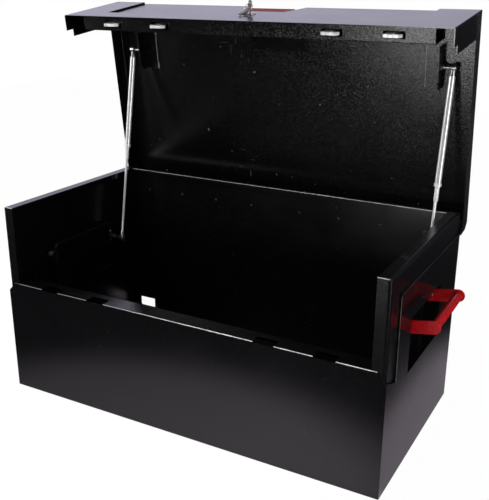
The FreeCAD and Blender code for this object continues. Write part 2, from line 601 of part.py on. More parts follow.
def hinge_leaf(lid_side):
    sign = 1 if lid_side else -1
    near, far = sorted((HINGE_Y + sign * (LEAF_REACH - LEAF_SHEET), HINGE_Y + sign * LEAF_REACH))
    end = LEAF_HIGH if lid_side else LEAF_LOW
    relief = HINGE_Z + sign * LEAF_RELIEF
    pieces = [box(-HINGE_HALF, HINGE_HALF, near, far, min(relief, end), max(relief, end))]
    for x0, x1 in knuckle_spans(lid_side):
        pieces.append(bar(V(x0, HINGE_Y, HINGE_Z), X_AXIS, x1 - x0, KNUCKLE_RADIUS))
        pieces.append(box(x0, x1, near, far, min(HINGE_Z, relief), max(HINGE_Z, relief)))
    leaf = joined(pieces)
    bore = bar(V(-HINGE_HALF - 1, HINGE_Y, HINGE_Z), X_AXIS, 2 * HINGE_HALF + 2,
               HINGE_PIN_RADIUS + RUNNING_GAP)
    bolt_z = LID_BOLT_Z if lid_side else BODY_BOLT_Z
    holes = [bar(V(x, near - 1, bolt_z), Y_AXIS, LEAF_SHEET + 2, BOLT_RADIUS) for x in HINGE_BOLT_X]
    return leaf.cut(bore).cut(Part.makeCompound(holes))


def hinge_pin():
    end = HINGE_HALF + 2
    profile = [(-end, 0), (-end, HINGE_PIN_RADIUS - 1), (-end + 1, HINGE_PIN_RADIUS),
               (end - 1, HINGE_PIN_RADIUS), (end, HINGE_PIN_RADIUS - 1), (end, 0)]
    return turned(profile, V(0, HINGE_Y, HINGE_Z), X_AXIS)


def hinge_body_bolts():
    outside = BACK_FACE + LEAF_SHEET
    return Part.makeCompound([through_bolt(x, BODY_BOLT_Z, WALL_Y, outside) for x in HINGE_BOLT_X])


def hinge_lid_bolts():
    inside = LID_BACK - SHEET - LEAF_SHEET
    return Part.makeCompound([through_bolt(x, LID_BOLT_Z, inside, LID_BACK) for x in HINGE_BOLT_X])


# Lock channel, bar, hooks and key lock, drawn shut and unlocked

def lock_channel():
    """Folded channel behind the lid's front, slotted below for the hooks."""
    skin = LID_FRONT + SHEET
    field = LID_FRONT + RECESS_DEPTH + SHEET
    profile = [(skin, CHANNEL_BOTTOM), (CHANNEL_BACK, CHANNEL_BOTTOM), (CHANNEL_BACK, CHANNEL_TOP),
               (field, CHANNEL_TOP), (field, CHANNEL_TOP - SHEET), (CHANNEL_BACK - SHEET, CHANNEL_TOP - SHEET),
               (CHANNEL_BACK - SHEET, CHANNEL_BOTTOM + SHEET), (skin + SHEET, CHANNEL_BOTTOM + SHEET),
               (skin + SHEET, CHANNEL_BOTTOM + CHANNEL_LEG), (skin, CHANNEL_BOTTOM + CHANNEL_LEG)]
    channel = prism(profile, "x", -CHANNEL_HALF, CHANNEL_HALF)
    channel = rounded(channel, FOLD, X_AXIS,
                      [(None, CHANNEL_BACK, CHANNEL_BOTTOM), (None, CHANNEL_BACK, CHANNEL_TOP)])
    channel = rounded(channel, FOLD - SHEET, X_AXIS,
                      [(None, CHANNEL_BACK - SHEET, CHANNEL_BOTTOM + SHEET),
                       (None, CHANNEL_BACK - SHEET, CHANNEL_TOP - SHEET)])
    half = LID_SLOT_LENGTH / 2
    slots = []
    for x in SLOT_X:
        left, right = x + LID_SLOT_SHIFT - half, x + LID_SLOT_SHIFT + half
        slots.append(box(left, right, LID_SLOT_FRONT, LID_SLOT_BACK,
                         CHANNEL_BOTTOM - 1, CHANNEL_BOTTOM + SHEET + 1))
    slots.append(box(LOCK_X - LOCK_GAP_HALF, LOCK_X + LOCK_GAP_HALF, field - 1, CHANNEL_BACK - 14,
                     CHANNEL_TOP - SHEET - 1, CHANNEL_TOP + 1))
    return channel.cut(Part.makeCompound(slots))


def bar_guides():
    """Saddles on the channel's back wall that the lock bar slides through."""
    wall = CHANNEL_BACK - SHEET
    bar_back = BAR_FRONT + BAR_SHEET
    saddles = []
    for x in GUIDE_X:
        block = box(x - GUIDE_LENGTH / 2, x + GUIDE_LENGTH / 2, BAR_FRONT - 4, wall,
                    BAR_BOTTOM - 6, BAR_TOP + 6)
        way = box(x - GUIDE_LENGTH, x + GUIDE_LENGTH, BAR_FRONT - GUIDE_GAP, bar_back + GUIDE_GAP,
                  BAR_BOTTOM - GUIDE_GAP, BAR_TOP + GUIDE_GAP)
        mouth = box(x - GUIDE_LENGTH, x + GUIDE_LENGTH, BAR_FRONT - 9, BAR_FRONT, BAR_BOTTOM + 5, BAR_TOP - 5)
        saddles.append(block.cut(way).cut(mouth))
    return Part.makeCompound(saddles)


def bar_shift():
    """X of the fork when the lock is open: half the travel to the left of the lock."""
    return LOCK_X - BAR_TRAVEL / 2


def lock_bar():
    """Flat bar with a fork that the cam's pin drives."""
    strip = box(-BAR_HALF, BAR_HALF, BAR_FRONT, BAR_FRONT + BAR_SHEET, BAR_BOTTOM, BAR_TOP)
    fork_x = bar_shift()
    slot = CAM_PIN_RADIUS + FORK_GAP
    tab = box(fork_x - slot - 9, fork_x + slot + 9, BAR_FRONT, BAR_FRONT + BAR_SHEET, BAR_TOP, FORK_TOP)
    low = LOCK_Z - CAM_THROW
    gap = box(fork_x - slot, fork_x + slot, BAR_FRONT - 1, BAR_FRONT + BAR_SHEET + 1, low, FORK_TOP + 1)
    root = bar(V(fork_x, BAR_FRONT - 1, low), Y_AXIS, BAR_SHEET + 2, slot)
    return joined([strip, tab]).cut(gap).cut(root)


def hook(x):
    """Plate hook: its shank hangs from the bar and its toe points to the right."""
    left = x + HOOK_START
    shank = left + HOOK_SHANK
    toe = left + HOOK_LENGTH
    outline = [(left, BAR_TOP - 4), (shank, BAR_TOP - 4), (shank, HOOK_TOE_TOP), (toe, HOOK_TOE_TOP),
               (toe, HOOK_TIP + 5), (toe - 8, HOOK_TIP), (left + 4, HOOK_TIP), (left, HOOK_TIP + 4)]
    back = BAR_FRONT + BAR_SHEET
    plate = prism(outline, "y", back, back + HOOK_SHEET)
    return plate.makeFillet(3.0, [e for e in plate.Edges if runs_along(e, Y_AXIS)
                                  and abs(e.CenterOfMass.x - shank) < 0.01
                                  and abs(e.CenterOfMass.z - HOOK_TOE_TOP) < 0.01])


def lock_housing():
    """Round lock body with a flange on the lid's sunk field and a nut behind it."""
    face = LID_FRONT + RECESS_DEPTH
    profile = [(face - 3.0, PLUG_RADIUS + RUNNING_GAP), (face - 3.0, 13.0), (face - 1.6, 16.0), (face, 16.0),
               (face, PLUG_RADIUS + 3), (face + SHEET, PLUG_RADIUS + 3), (face + SHEET, 15.0),
               (HOUSING_BACK, 15.0), (HOUSING_BACK, PLUG_RADIUS + RUNNING_GAP)]
    return turned(profile, V(LOCK_X, 0, LOCK_Z), Y_AXIS)


def lock_plug():
    """Key plug with its keyway, cam and drive pin, turned to the open side."""
    body = bar(V(0, PLUG_FRONT, 0), Y_AXIS, PLUG_BACK - PLUG_FRONT, PLUG_RADIUS)
    r = CAM_PIN_RADIUS + 2
    arm = joined([bar(V(0, PLUG_BACK, 0), Y_AXIS, CAM_SHEET, PLUG_RADIUS),
                  box(-r, r, PLUG_BACK, PLUG_BACK + CAM_SHEET, -CAM_THROW, 0),
                  bar(V(0, PLUG_BACK, -CAM_THROW), Y_AXIS, CAM_SHEET, r),
                  bar(V(0, BAR_FRONT, -CAM_THROW), Y_AXIS, PLUG_BACK - BAR_FRONT, CAM_PIN_RADIUS)])
    keyway = box(-KEY_SHEET / 2 - KEY_GAP, KEY_SHEET / 2 + KEY_GAP,
                 PLUG_FRONT - 1, PLUG_FRONT + KEYWAY_DEPTH + FIT_GAP,
                 -KEY_BLADE / 2 - KEY_GAP, KEY_BLADE / 2 + KEY_GAP)
    arm.rotate(V(0, 0, 0), Y_AXIS, 45)
    plug = joined([body, arm]).cut(keyway)
    plug.translate(V(LOCK_X, 0, LOCK_Z))
    return plug


def key_blank():
    """Flat key in the YZ plane: blade towards +Y from the origin, round bow towards -Y."""
    half = KEY_SHEET / 2
    teeth = [(KEYWAY_DEPTH - 1, KEY_BLADE / 2 - 3), (KEYWAY_DEPTH - 3.5, KEY_BLADE / 2 - 1.2),
             (KEYWAY_DEPTH - 6, KEY_BLADE / 2 - 2.6), (KEYWAY_DEPTH - 8.5, KEY_BLADE / 2 - 1.0),
             (KEYWAY_DEPTH - 11, KEY_BLADE / 2 - 2.0), (KEYWAY_DEPTH - 13, KEY_BLADE / 2)]
    outline = [(-KEY_SHAFT, -KEY_BLADE / 2), (KEYWAY_DEPTH, -KEY_BLADE / 2)]
    outline += teeth + [(-KEY_SHAFT, KEY_BLADE / 2)]
    blade = prism(outline, "x", -half, half)
    bow = bar(V(-half, 1 - KEY_SHAFT - KEY_BOW, 0), X_AXIS, KEY_SHEET, KEY_BOW)
    hole = bar(V(-half - 1, key_hole_y(), 0), X_AXIS, KEY_SHEET + 2, KEY_HOLE)
    return joined([blade, bow]).cut(hole)


def key_hole_y():
    return 1 - KEY_SHAFT - KEY_BOW - KEY_HOLE_INSET


def lock_key():
    key = key_blank()
    key.translate(V(LOCK_X, PLUG_FRONT, LOCK_Z))
    return key


def ring_slack():
    """How far the wire's centre can move in a key's hole before it touches."""
    return KEY_HOLE - KEY_WIRE - KEY_GAP


def ring_pose():
    """Top and bottom of the ring's centre line: it hangs from the key and leans down the lid's front."""
    face = LID_FRONT + RECESS_DEPTH
    top = V(LOCK_X, PLUG_FRONT + key_hole_y() + ring_slack(), LOCK_Z)
    reach = face - SPARE_HEIGHT - top.y
    slope = math.sqrt((2 * KEY_RING_RADIUS) ** 2 - reach ** 2)
    return top, top + V(0, reach, -slope)


def key_ring():
    top, low = ring_pose()
    return Part.makeTorus(KEY_RING_RADIUS, KEY_WIRE, (top + low) * 0.5, X_AXIS.cross(low - top))


def spare_keys():
    """Two more keys on the ring; with the lid open they lie against its front."""
    face = LID_FRONT + RECESS_DEPTH
    low = ring_pose()[1]
    keys = []
    for side, droop in zip((-1, 1), SPARE_DROOP):
        key = key_blank()
        key.translate(V(0, -key_hole_y(), 0))
        key.rotate(V(0, 0, 0), X_AXIS, droop - 90)
        key.rotate(V(0, 0, 0), Z_AXIS, SPARE_TILT)
        rest = face - FIT_GAP - key.BoundBox.YMax
        key.translate(V(LOCK_X + side * SPARE_STEP, rest, low.z - SPARE_SLACK))
        keys.append(key)
    return Part.makeCompound(keys)


# Gas struts, drawn along +Z from the lower ball at the origin

def strut_length(shut):
    y, z = (UPPER_Y, UPPER_Z) if shut else opened_point(UPPER_Y, UPPER_Z)
    return math.hypot(y - LOWER_Y, z - LOWER_Z)


def placed_strut(shape):
    """Lean a strut part to the open lid's line on the right side."""
    y, z = opened_point(UPPER_Y, UPPER_Z)
    lean = math.degrees(math.atan2(y - LOWER_Y, z - LOWER_Z))
    placed = shape.copy()
    placed.rotate(V(0, 0, 0), X_AXIS, -lean)
    placed.translate(V(STRUT_X, LOWER_Y, LOWER_Z))
    return placed


def ball_and_neck(radius, neck, length):
    """Ball at the origin with a round neck along +X."""
    start = math.sqrt(radius ** 2 - neck ** 2)
    arc = Part.Arc(V(-radius, 0, 0), V(0, 0, radius), V(start, 0, neck)).toShape()
    rest = Part.makePolygon([V(start, 0, neck), V(length, 0, neck), V(length, 0, 0), V(-radius, 0, 0)])
    return Part.Face(Part.Wire([arc] + rest.Edges)).revolve(V(0, 0, 0), X_AXIS, 360)


def ball_socket(centre_z, boss_way, stud_way):
    """Cup round a ball, with a boss along the strut and its mouth facing the stud."""
    depth = BALL_RADIUS + 3
    centre = V(0, 0, centre_z)
    cup = turned([(-depth, 0), (-depth, SOCKET_RADIUS - 2), (-depth + 2, SOCKET_RADIUS), (5.0, SOCKET_RADIUS),
                  (5.0, 0)], centre, X_AXIS * stud_way)
    boss = turned([(0, 0), (0, BOSS_RADIUS), (BOSS_LENGTH - 1.5, BOSS_RADIUS),
                   (BOSS_LENGTH, BOSS_RADIUS - 1.5), (BOSS_LENGTH, 0)], centre, Z_AXIS * boss_way)
    cavity = ball_and_neck(BALL_RADIUS + BALL_GAP, 5.2, depth + 2)
    if stud_way < 0:
        cavity.rotate(V(0, 0, 0), Z_AXIS, 180)
    cavity.translate(centre)
    return joined([cup, boss]).cut(cavity)


def ball_stud(length, hex_length):
    """Ball at the origin on a stud along +X whose base has a hexagon for the spanner."""
    corners = [(9.0 * math.cos(math.radians(60 * i)), 9.0 * math.sin(math.radians(60 * i))) for i in range(6)]
    base = prism(corners, "x", length - hex_length, length)
    return joined([ball_and_neck(BALL_RADIUS, 4.0, length), base])


def strut_lower_socket():
    return placed_strut(ball_socket(0, 1, 1))


def strut_rod():
    """Polished rod with the piston at its hidden end."""
    top = strut_length(shut=True) - BOSS_LENGTH - TUBE_CAP - PISTON_GAP
    bore = TUBE_RADIUS - TUBE_WALL
    profile = [(BOSS_LENGTH, 0), (BOSS_LENGTH, ROD_RADIUS), (top - PISTON_LENGTH, ROD_RADIUS),
               (top - PISTON_LENGTH, bore - 0.1), (top, bore - 0.1), (top, 0)]
    return placed_strut(turned(profile, V(0, 0, 0), Z_AXIS))


def tube_end():
    """Lower end of the cylinder along the open strut; with the lid shut its guide stops above the boss."""
    shut_low = BOSS_LENGTH + STOP_GAP + GUIDE_TUBE_LENGTH
    return shut_low + strut_length(shut=False) - strut_length(shut=True)


def strut_cylinder():
    low = tube_end()
    top = strut_length(shut=False) - BOSS_LENGTH
    bore = TUBE_RADIUS - TUBE_WALL
    profile = [(low, bore), (low, TUBE_RADIUS), (top - 2, TUBE_RADIUS), (top, TUBE_RADIUS - 2), (top, 0),
               (top - TUBE_CAP, 0), (top - TUBE_CAP, bore)]
    return placed_strut(turned(profile, V(0, 0, 0), Z_AXIS))


def strut_guide():
    """Collar and slim guide tube below the cylinder that the rod runs through."""
    end = tube_end()
    low = end - GUIDE_TUBE_LENGTH
    hole = ROD_RADIUS + RUNNING_GAP
    profile = [(low, hole), (low, GUIDE_TUBE_RADIUS - 1), (low + 1, GUIDE_TUBE_RADIUS),
               (end - COLLAR_LENGTH, GUIDE_TUBE_RADIUS), (end - COLLAR_LENGTH, COLLAR_RADIUS),
               (end, COLLAR_RADIUS), (end, hole)]
    return placed_strut(turned(profile, V(0, 0, 0), Z_AXIS))


def strut_upper_socket():
    return placed_strut(ball_socket(strut_length(shut=False), -1, -1))


def strut_upper_ball():
    """Stud that rides with the strut and stops just short of the lid bracket."""
    stud = ball_stud(STRUT_X - LID_PLATE_X - OPEN_PIVOT_GAP, 7.0)
    stud.rotate(V(0, 0, 0), Z_AXIS, 180)
    stud.translate(V(0, 0, strut_length(shut=False)))
    return placed_strut(stud)


def lower_ball():
    stud = ball_stud(BODY_PLATE_X - STRUT_X, 20.0)
    stud.translate(V(STRUT_X, LOWER_Y, LOWER_Z))
    return stud


def strut_bracket():
    """Flat plate on the side wall that carries the lower ball's stud."""
    plate = box(BODY_PLATE_X, BODY_PLATE_X + BRACKET_SHEET,
                LOWER_Y - BODY_PLATE_HALF, LOWER_Y + BODY_PLATE_HALF,
                LOWER_Z - BODY_PLATE_RISE, LOWER_Z + BODY_PLATE_RISE)
    return plate.makeFillet(2 * FOLD, [e for e in plate.Edges if runs_along(e, X_AXIS)])


def strut_bracket_bolts():
    """Domed bolts above and below each stud, seen inside the trunk."""
    profile = [(0, 0), (0, 5.5), (1.6, 4.8), (3.0, 2.4), (3.4, 0)]
    heads = [turned(profile, V(BODY_PLATE_X, LOWER_Y, LOWER_Z + rise), -X_AXIS)
             for rise in (-BRACKET_BOLT_RISE, BRACKET_BOLT_RISE)]
    return Part.makeCompound(heads + [mirrored(head) for head in heads])


def lid_bracket():
    """Angle welded inside the lid: a flat leg on the sheet and a plate that takes the upper ball."""
    sheet = BRACKET_SHEET
    face = LID_TOP - SHEET
    y0, y1 = LID_BRACKET_Y
    low = face - LID_PLATE_HEIGHT
    outline = [(LID_PLATE_X - LID_LEG, face), (LID_PLATE_X, face), (LID_PLATE_X, low),
               (LID_PLATE_X - sheet, low), (LID_PLATE_X - sheet, face - sheet),
               (LID_PLATE_X - LID_LEG, face - sheet)]
    angle = prism(outline, "y", y0, y1)
    angle = rounded(angle, FOLD, Y_AXIS, [(LID_PLATE_X, None, face)])
    corner = V(LID_PLATE_X - sheet - 1, y1, low)
    along, rise = LID_PLATE_CLIP
    clip = prism([(corner.y + 1, low - 1), (corner.y + 1, low + rise), (corner.y - along, low - 1)], "x",
                 LID_PLATE_X - sheet - 1, LID_PLATE_X + 1)
    nut = turned([(0, 0), (0, 8.0), (6, 8.0), (6, 0)], V(LID_PLATE_X - sheet, UPPER_Y, UPPER_Z), -X_AXIS)
    return joined([angle.cut(clip), nut])


def build():
    shapes = {
        "floor_panel": floor_panel(),
        "front_panel": front_panel(),
        "rear_panel": rear_panel(),
        "cable_port_frame": cable_port_frame(),
        "cable_port_rivets": cable_port_rivets(),
        "hinge_body_leaf": hinge_leaf(lid_side=False),
        "hinge_pin": hinge_pin(),
        "hinge_body_bolts": hinge_body_bolts(),
        "strut_bracket_bolts": strut_bracket_bolts(),
        "lid_top_panel": opened(lid_top_panel()),
        "lid_front_panel": opened(lid_front_panel()),
        "grip_pocket": opened(grip_pocket()),
        "grip_pocket_bolts": opened(grip_pocket_bolts()),
        "grip_bar": opened(grip_bar()),
        "hinge_lid_leaf": opened(hinge_leaf(lid_side=True)),
        "hinge_lid_bolts": opened(hinge_lid_bolts()),
        "lock_channel": opened(lock_channel()),
        "bar_guides": opened(bar_guides()),
        "lock_housing": opened(lock_housing()),
        "lock_bar": opened(lock_bar()),
        "lock_plug": opened(lock_plug()),
        "lock_key": opened(lock_key()),
        "key_ring": opened(key_ring()),
        "spare_keys": opened(spare_keys()),
    }
    for number, x in enumerate(SLOT_X, start=1):
        shapes[f"lock_hook_{number}"] = opened(hook(x))
    right = {
        "side_wall": side_wall(),
        "side_skin": side_skin(),
        "handle_pocket": handle_pocket(),
        "handle_pivots": handle_pivots(),
        "handle_arms": handle_arms(),
        "handle_grip": handle_grip(),
        "strut_bracket": strut_bracket(),
        "lower_ball": lower_ball(),
        "strut_lower_socket": strut_lower_socket(),
        "strut_rod": strut_rod(),
        "strut_cylinder": strut_cylinder(),
        "strut_guide": strut_guide(),
        "strut_upper_socket": strut_upper_socket(),
        "strut_upper_ball": strut_upper_ball(),
        "lid_bracket": opened(lid_bracket()),
    }
    for name, shape in right.items():
        shapes[f"right_{name}"] = shape
        shapes[f"left_{name}"] = mirrored(shape)
    return shapes


os.makedirs("parts", exist_ok=True)
for node, solid in build().items():
    solid.exportStep(f"parts/{node}.step")
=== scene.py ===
"""Steel tool trunk, dressed: powder-coated sheet, zinc hardware, gas struts and red handles.

Metres, in the CAD frame: X to the right, Y to the back, Z up. The trunk stands with its lid open.
"""

import bpy
import json
import math
from mathutils import Matrix, Vector


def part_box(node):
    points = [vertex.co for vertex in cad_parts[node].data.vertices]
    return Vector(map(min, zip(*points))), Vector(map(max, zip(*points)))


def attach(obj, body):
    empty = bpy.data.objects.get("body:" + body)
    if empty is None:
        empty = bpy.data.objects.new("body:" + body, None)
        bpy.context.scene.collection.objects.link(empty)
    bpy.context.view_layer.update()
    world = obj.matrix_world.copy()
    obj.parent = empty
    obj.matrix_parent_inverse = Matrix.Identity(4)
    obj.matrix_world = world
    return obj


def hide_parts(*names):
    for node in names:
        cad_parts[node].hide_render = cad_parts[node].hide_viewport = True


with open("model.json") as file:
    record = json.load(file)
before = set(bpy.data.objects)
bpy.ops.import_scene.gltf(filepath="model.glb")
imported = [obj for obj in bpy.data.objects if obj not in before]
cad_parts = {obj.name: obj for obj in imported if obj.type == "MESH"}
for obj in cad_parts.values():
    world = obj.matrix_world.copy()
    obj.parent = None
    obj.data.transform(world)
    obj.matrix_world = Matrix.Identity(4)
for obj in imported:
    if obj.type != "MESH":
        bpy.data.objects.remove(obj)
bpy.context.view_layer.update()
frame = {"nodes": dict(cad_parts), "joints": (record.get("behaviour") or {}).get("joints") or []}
NODES = frame["nodes"]
SIDES = (("left", -1), ("right", 1))

# The photograph's camera
CAMERA_PLACE = (1.10380, -1.90808, 1.24448)
CAMERA_RIGHT = (0.875212, 0.483725, 0.003659)
CAMERA_UP = (-0.163228, 0.288195, 0.943557)
FOCAL_PIXELS = 776.166
LONG_SIDE = 500
SENSOR = 36.0

# The trunk's own sizes, taken from the CAD
FRONT_LOW, FRONT_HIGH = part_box("front_panel")
REAR_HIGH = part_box("rear_panel")[1]
HALF_WIDTH = FRONT_HIGH.x
FRONT = FRONT_LOW.y
BACK = REAR_HIGH.y
FRONT_TOP = FRONT_HIGH.z
RIM_TOP = REAR_HIGH.z
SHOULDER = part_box("right_side_skin")[1].z
SHEET = 0.002
HINGE_LEAF = 0.003
LID_TOP = RIM_TOP + 0.008

# The lid's swing, as in the CAD; welds and bolts are laid out in the shut lid and opened with it
LID_JOINT = next(joint for joint in frame["joints"] if joint["name"] == "lid_hinge")
HINGE = Vector(LID_JOINT["pos_m"])
OPEN_ANGLE = math.radians(LID_JOINT["range_deg"][1])
OPENING = Matrix.Translation(HINGE) @ Matrix.Rotation(-OPEN_ANGLE, 4, "X") @ Matrix.Translation(-HINGE)

# Hinge bolts, the same on both sides of the middle; each pair of Y is where nuts and heads seat
BOLT_FIRST = 0.088
BOLT_SPACING = 0.139
BOLT_COUNT = 4
BOLT_RADIUS = 0.0065
BODY_BOLT_Z = HINGE.z - 0.017
LID_BOLT_Z = HINGE.z + 0.026
BODY_LEAF_Y = (BACK - SHEET, BACK + HINGE_LEAF)
LID_LEAF_Y = (HINGE.y + 0.006, HINGE.y + 0.006 + HINGE_LEAF + SHEET)
NUT_HEIGHT = 0.0040
HEAD_HEIGHT = 0.0028

# Welds at the ends of the strut brackets' legs, in the shut lid
WELD_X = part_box("right_lid_bracket")[0].x
WELD_Y = (-0.212, -0.112)
WELD_Z = LID_TOP - SHEET - 0.0005
WELD_COUNT = 9
WELD_STEP = 0.0022
WELD_RADIUS = 0.0034
RIPPLE_LEAST = (0.75, 0.70, 0.45)
RIPPLE_MOST = (1.20, 1.05, 0.75)
WELD_SEED = 7

# The open lid's sheet leans forward: its inner face has y + LID_LEAN * z under LID_MIDPLANE
LID_NORMAL = OPENING.to_3x3() @ Vector((0.0, 0.0, 1.0))
LID_MIDDLE = OPENING @ Vector((0.0, 0.0, LID_TOP - SHEET / 2))
LID_LEAN = LID_NORMAL.z / LID_NORMAL.y
LID_MIDPLANE = LID_NORMAL.dot(LID_MIDDLE) / LID_NORMAL.y

# Painted sparkle on the lid's inside: light flecks standing in for glints off the coat, strongest at the
# top right where the light falls
SPARKLE_FADE = {"X": (-0.25, 0.50), "Z": (0.66, 1.10)}
SPARKLE_LEAST = 0.12
SHEEN_SPREAD = 0.03
SCUFF_DULLING = 0.2

# Painted highlights: thin bright lines along the body's folds, where the glossy coat would catch the lamps
REAR_RIM_FRONT = BACK - 0.016
NOTCH_Y = FRONT + 0.075
NOTCH_BACK = FRONT_TOP - 0.058
# Painted highlights fade towards the left, where less light falls
HIGHLIGHT_GAIN_X = (-0.30, 0.15)
FOLD_IN = 0.0008
LIP_IN = 0.0026
ALONG_X = (0.0, 1.0, 1.0)
ALONG_Y = (1.0, 0.0, 1.0)
ALONG_Z = (1.0, 1.0, 0.0)

# Studio: the floor shows in the coat as a pool round the foot, and the room in front is dark
POOL_MIDDLE = (-0.02, -0.20)
POOL_REACH = (0.75, 0.49)
POOL_FADE = (0.74, 1.24)
POOL_LEVELS = (0.35, 0.86)
POOL_LEVEL_X = (-0.65, 0.25)
REAR_POOL_Y = 0.25
REAR_POOL_REACH = (0.60, 0.50)
REAR_POOL_LEVEL = 0.5
SIDE_GLOW = 0.34
SIDE_FADE = (0.685, 0.775)
SIDE_END = (0.45, 0.9)
FLOOR_FRONT = 0.07
FLOOR_FRONT_X = (-1.2, 0.2)
FLOOR_FAR = 0.015
FLOOR_BACK = 0.05
FLOOR_BACK_Y = (1.5, 3.0)
FRONT_SEAM = (-0.03, 0.06)
FLOOR_REACH = 6.0
FLOOR_SINK = 0.0005
FLOOR_GLOW = 0.98
ROOM_EDGE = (-0.25, 0.45)
ROOM_DARK = 0.02
HORIZON = (-0.15, 0.15)
HORIZON_DARK = 0.2
RIGHT_EDGE = (-0.28, 0.08)
RIGHT_DARK = 0.08
WORLD_SOFT = 0.35
FLOOR_TINT = (1.0, 0.90, 1.02)
BACKDROP_TINT = (0.84, 0.80, 1.0)

# Colours
COAT_BLACK = (0.0011, 0.0011, 0.0013)
COAT_GREY = (0.0034, 0.0033, 0.0038)
# Light colour of the painted sparkle on the lid's inside
PAINTED_SPARKLE = (0.050, 0.049, 0.053)
COAT_RED = (0.52, 0.004, 0.007)
COAT_RED_DARK = (0.30, 0.002, 0.004)
# Near-white colour of the painted edge highlights
PAINTED_HIGHLIGHT = (0.78, 0.77, 0.80)
ZINC = (0.60, 0.60, 0.58)
ZINC_DULL = (0.42, 0.43, 0.44)
CHROME = (0.82, 0.82, 0.84)
NICKEL = (0.94, 0.93, 0.90)
DARK_SCUFF = (0.10, 0.10, 0.11)
GREY_SCUFF = (0.12, 0.12, 0.125)

# Lamps: place, target, size of the rectangle and power in watts
LAMPS = {
    "left_softbox": ((-2.2, -1.8, 2.2), (0, 0, 0.4), (1.6, 1.6), 40.0),
    "top_strip": ((-0.9, -0.8, 2.7), (-0.2, 0.0, 0.5), (2.2, 0.5), 40.0),
    "left_strip": ((-2.6, -1.2, 0.9), (0, 0, 0.8), (0.3, 1.7), 12.0),
    "right_strip": ((2.6, -0.6, 0.9), (0.3, 0, 0.8), (0.35, 1.8), 26.0),
    "low_fill": ((-0.2, -2.9, 0.2), (0.3, 0.3, 0.9), (0.5, 0.4), 11.0),
}


def new_tree(name, inputs, outputs):
    """Shader node group with named value and colour sockets."""
    tree = bpy.data.node_groups.new(name, "ShaderNodeTree")
    for label, kind, value in inputs:
        socket = tree.interface.new_socket(name=label, in_out="INPUT", socket_type=kind)
        socket.default_value = value
    for label, kind in outputs:
        tree.interface.new_socket(name=label, in_out="OUTPUT", socket_type=kind)
    return tree, tree.nodes.new("NodeGroupInput"), tree.nodes.new("NodeGroupOutput")


def math_node(tree, operation, first, second=None, clamp=False):
    node = tree.nodes.new("ShaderNodeMath")
    node.operation = operation
    node.use_clamp = clamp
    for slot, value in zip(node.inputs, (first, second)):
        if value is None:
            continue
        if isinstance(value, (int, float)):
            slot.default_value = value
        else:
            tree.links.new(value, slot)
    return node.outputs[0]


def vector_node(tree, operation, first, second=None):
    node = tree.nodes.new("ShaderNodeVectorMath")
    node.operation = operation
    tree.links.new(first, node.inputs[0])
    if second is not None:
        tree.links.new(second, node.inputs[1])
    return node.outputs["Value" if operation == "LENGTH" else "Vector"]


def noise(tree, vector, scale, detail, roughness=0.5):
    node = tree.nodes.new("ShaderNodeTexNoise")
    node.inputs["Detail"].default_value = detail
    node.inputs["Roughness"].default_value = roughness
    tree.links.new(vector, node.inputs["Vector"])
    if isinstance(scale, (int, float)):
        node.inputs["Scale"].default_value = scale
    else:
        tree.links.new(scale, node.inputs["Scale"])
    return node.outputs["Fac"]


def ramp(tree, value, low, high, out_low=0.0, out_high=1.0):
    node = tree.nodes.new("ShaderNodeMapRange")
    node.inputs["From Min"].default_value = low
    node.inputs["From Max"].default_value = high
    node.inputs["To Min"].default_value = out_low
    node.inputs["To Max"].default_value = out_high
    tree.links.new(value, node.inputs["Value"])
    return node.outputs["Result"]


def soft_ramp(tree, value, low, high, out_low, out_high):
    result = ramp(tree, value, low, high, out_low, out_high)
    result.node.interpolation_type = "SMOOTHSTEP"
    return result


def stretched(tree, vector, scale):
    node = tree.nodes.new("ShaderNodeMapping")
    node.inputs["Scale"].default_value = scale
    tree.links.new(vector, node.inputs["Vector"])
    return node.outputs["Vector"]


def mix_colour(tree, factor, first, second):
    node = tree.nodes.new("ShaderNodeMix")
    node.data_type = "RGBA"
    tree.links.new(factor, node.inputs["Factor"])
    for label, value in (("A", first), ("B", second)):
        slot = [s for s in node.inputs if s.name == label and s.type == "RGBA"][0]
        if isinstance(value, tuple):
            slot.default_value = (*value, 1.0)
        else:
            tree.links.new(value, slot)
    return [s for s in node.outputs if s.type == "RGBA"][0]


def powder_group():
    """Orange peel, fine granules and faint mottling of a baked powder coat."""
    tree, given, made = new_tree(
        "powder_coat",
        [("Peel Scale", "NodeSocketFloat", 420.0), ("Grain Scale", "NodeSocketFloat", 1700.0),
         ("Grain Share", "NodeSocketFloat", 0.4), ("Fleck Scale", "NodeSocketFloat", 300.0)],
        [("Height", "NodeSocketFloat"), ("Mottle", "NodeSocketFloat"), ("Smudge", "NodeSocketFloat")])
    place = tree.nodes.new("ShaderNodeTexCoord").outputs["Object"]
    peel = noise(tree, place, given.outputs["Peel Scale"], 1.5)
    grain = noise(tree, place, given.outputs["Grain Scale"], 2.0, 0.7)
    share = math_node(tree, "MULTIPLY", grain, given.outputs["Grain Share"])
    tree.links.new(math_node(tree, "ADD", peel, share), made.inputs["Height"])
    cells = tree.nodes.new("ShaderNodeTexVoronoi")
    tree.links.new(place, cells.inputs["Vector"])
    tree.links.new(given.outputs["Fleck Scale"], cells.inputs["Scale"])
    shade = tree.nodes.new("ShaderNodeSeparateXYZ")
    tree.links.new(cells.outputs["Color"], shade.inputs[0])
    tree.links.new(ramp(tree, shade.outputs["X"], 0.35, 1.0), made.inputs["Mottle"])
    tree.links.new(ramp(tree, noise(tree, place, 5.5, 5.0, 0.62), 0.35, 0.7), made.inputs["Smudge"])
    return tree


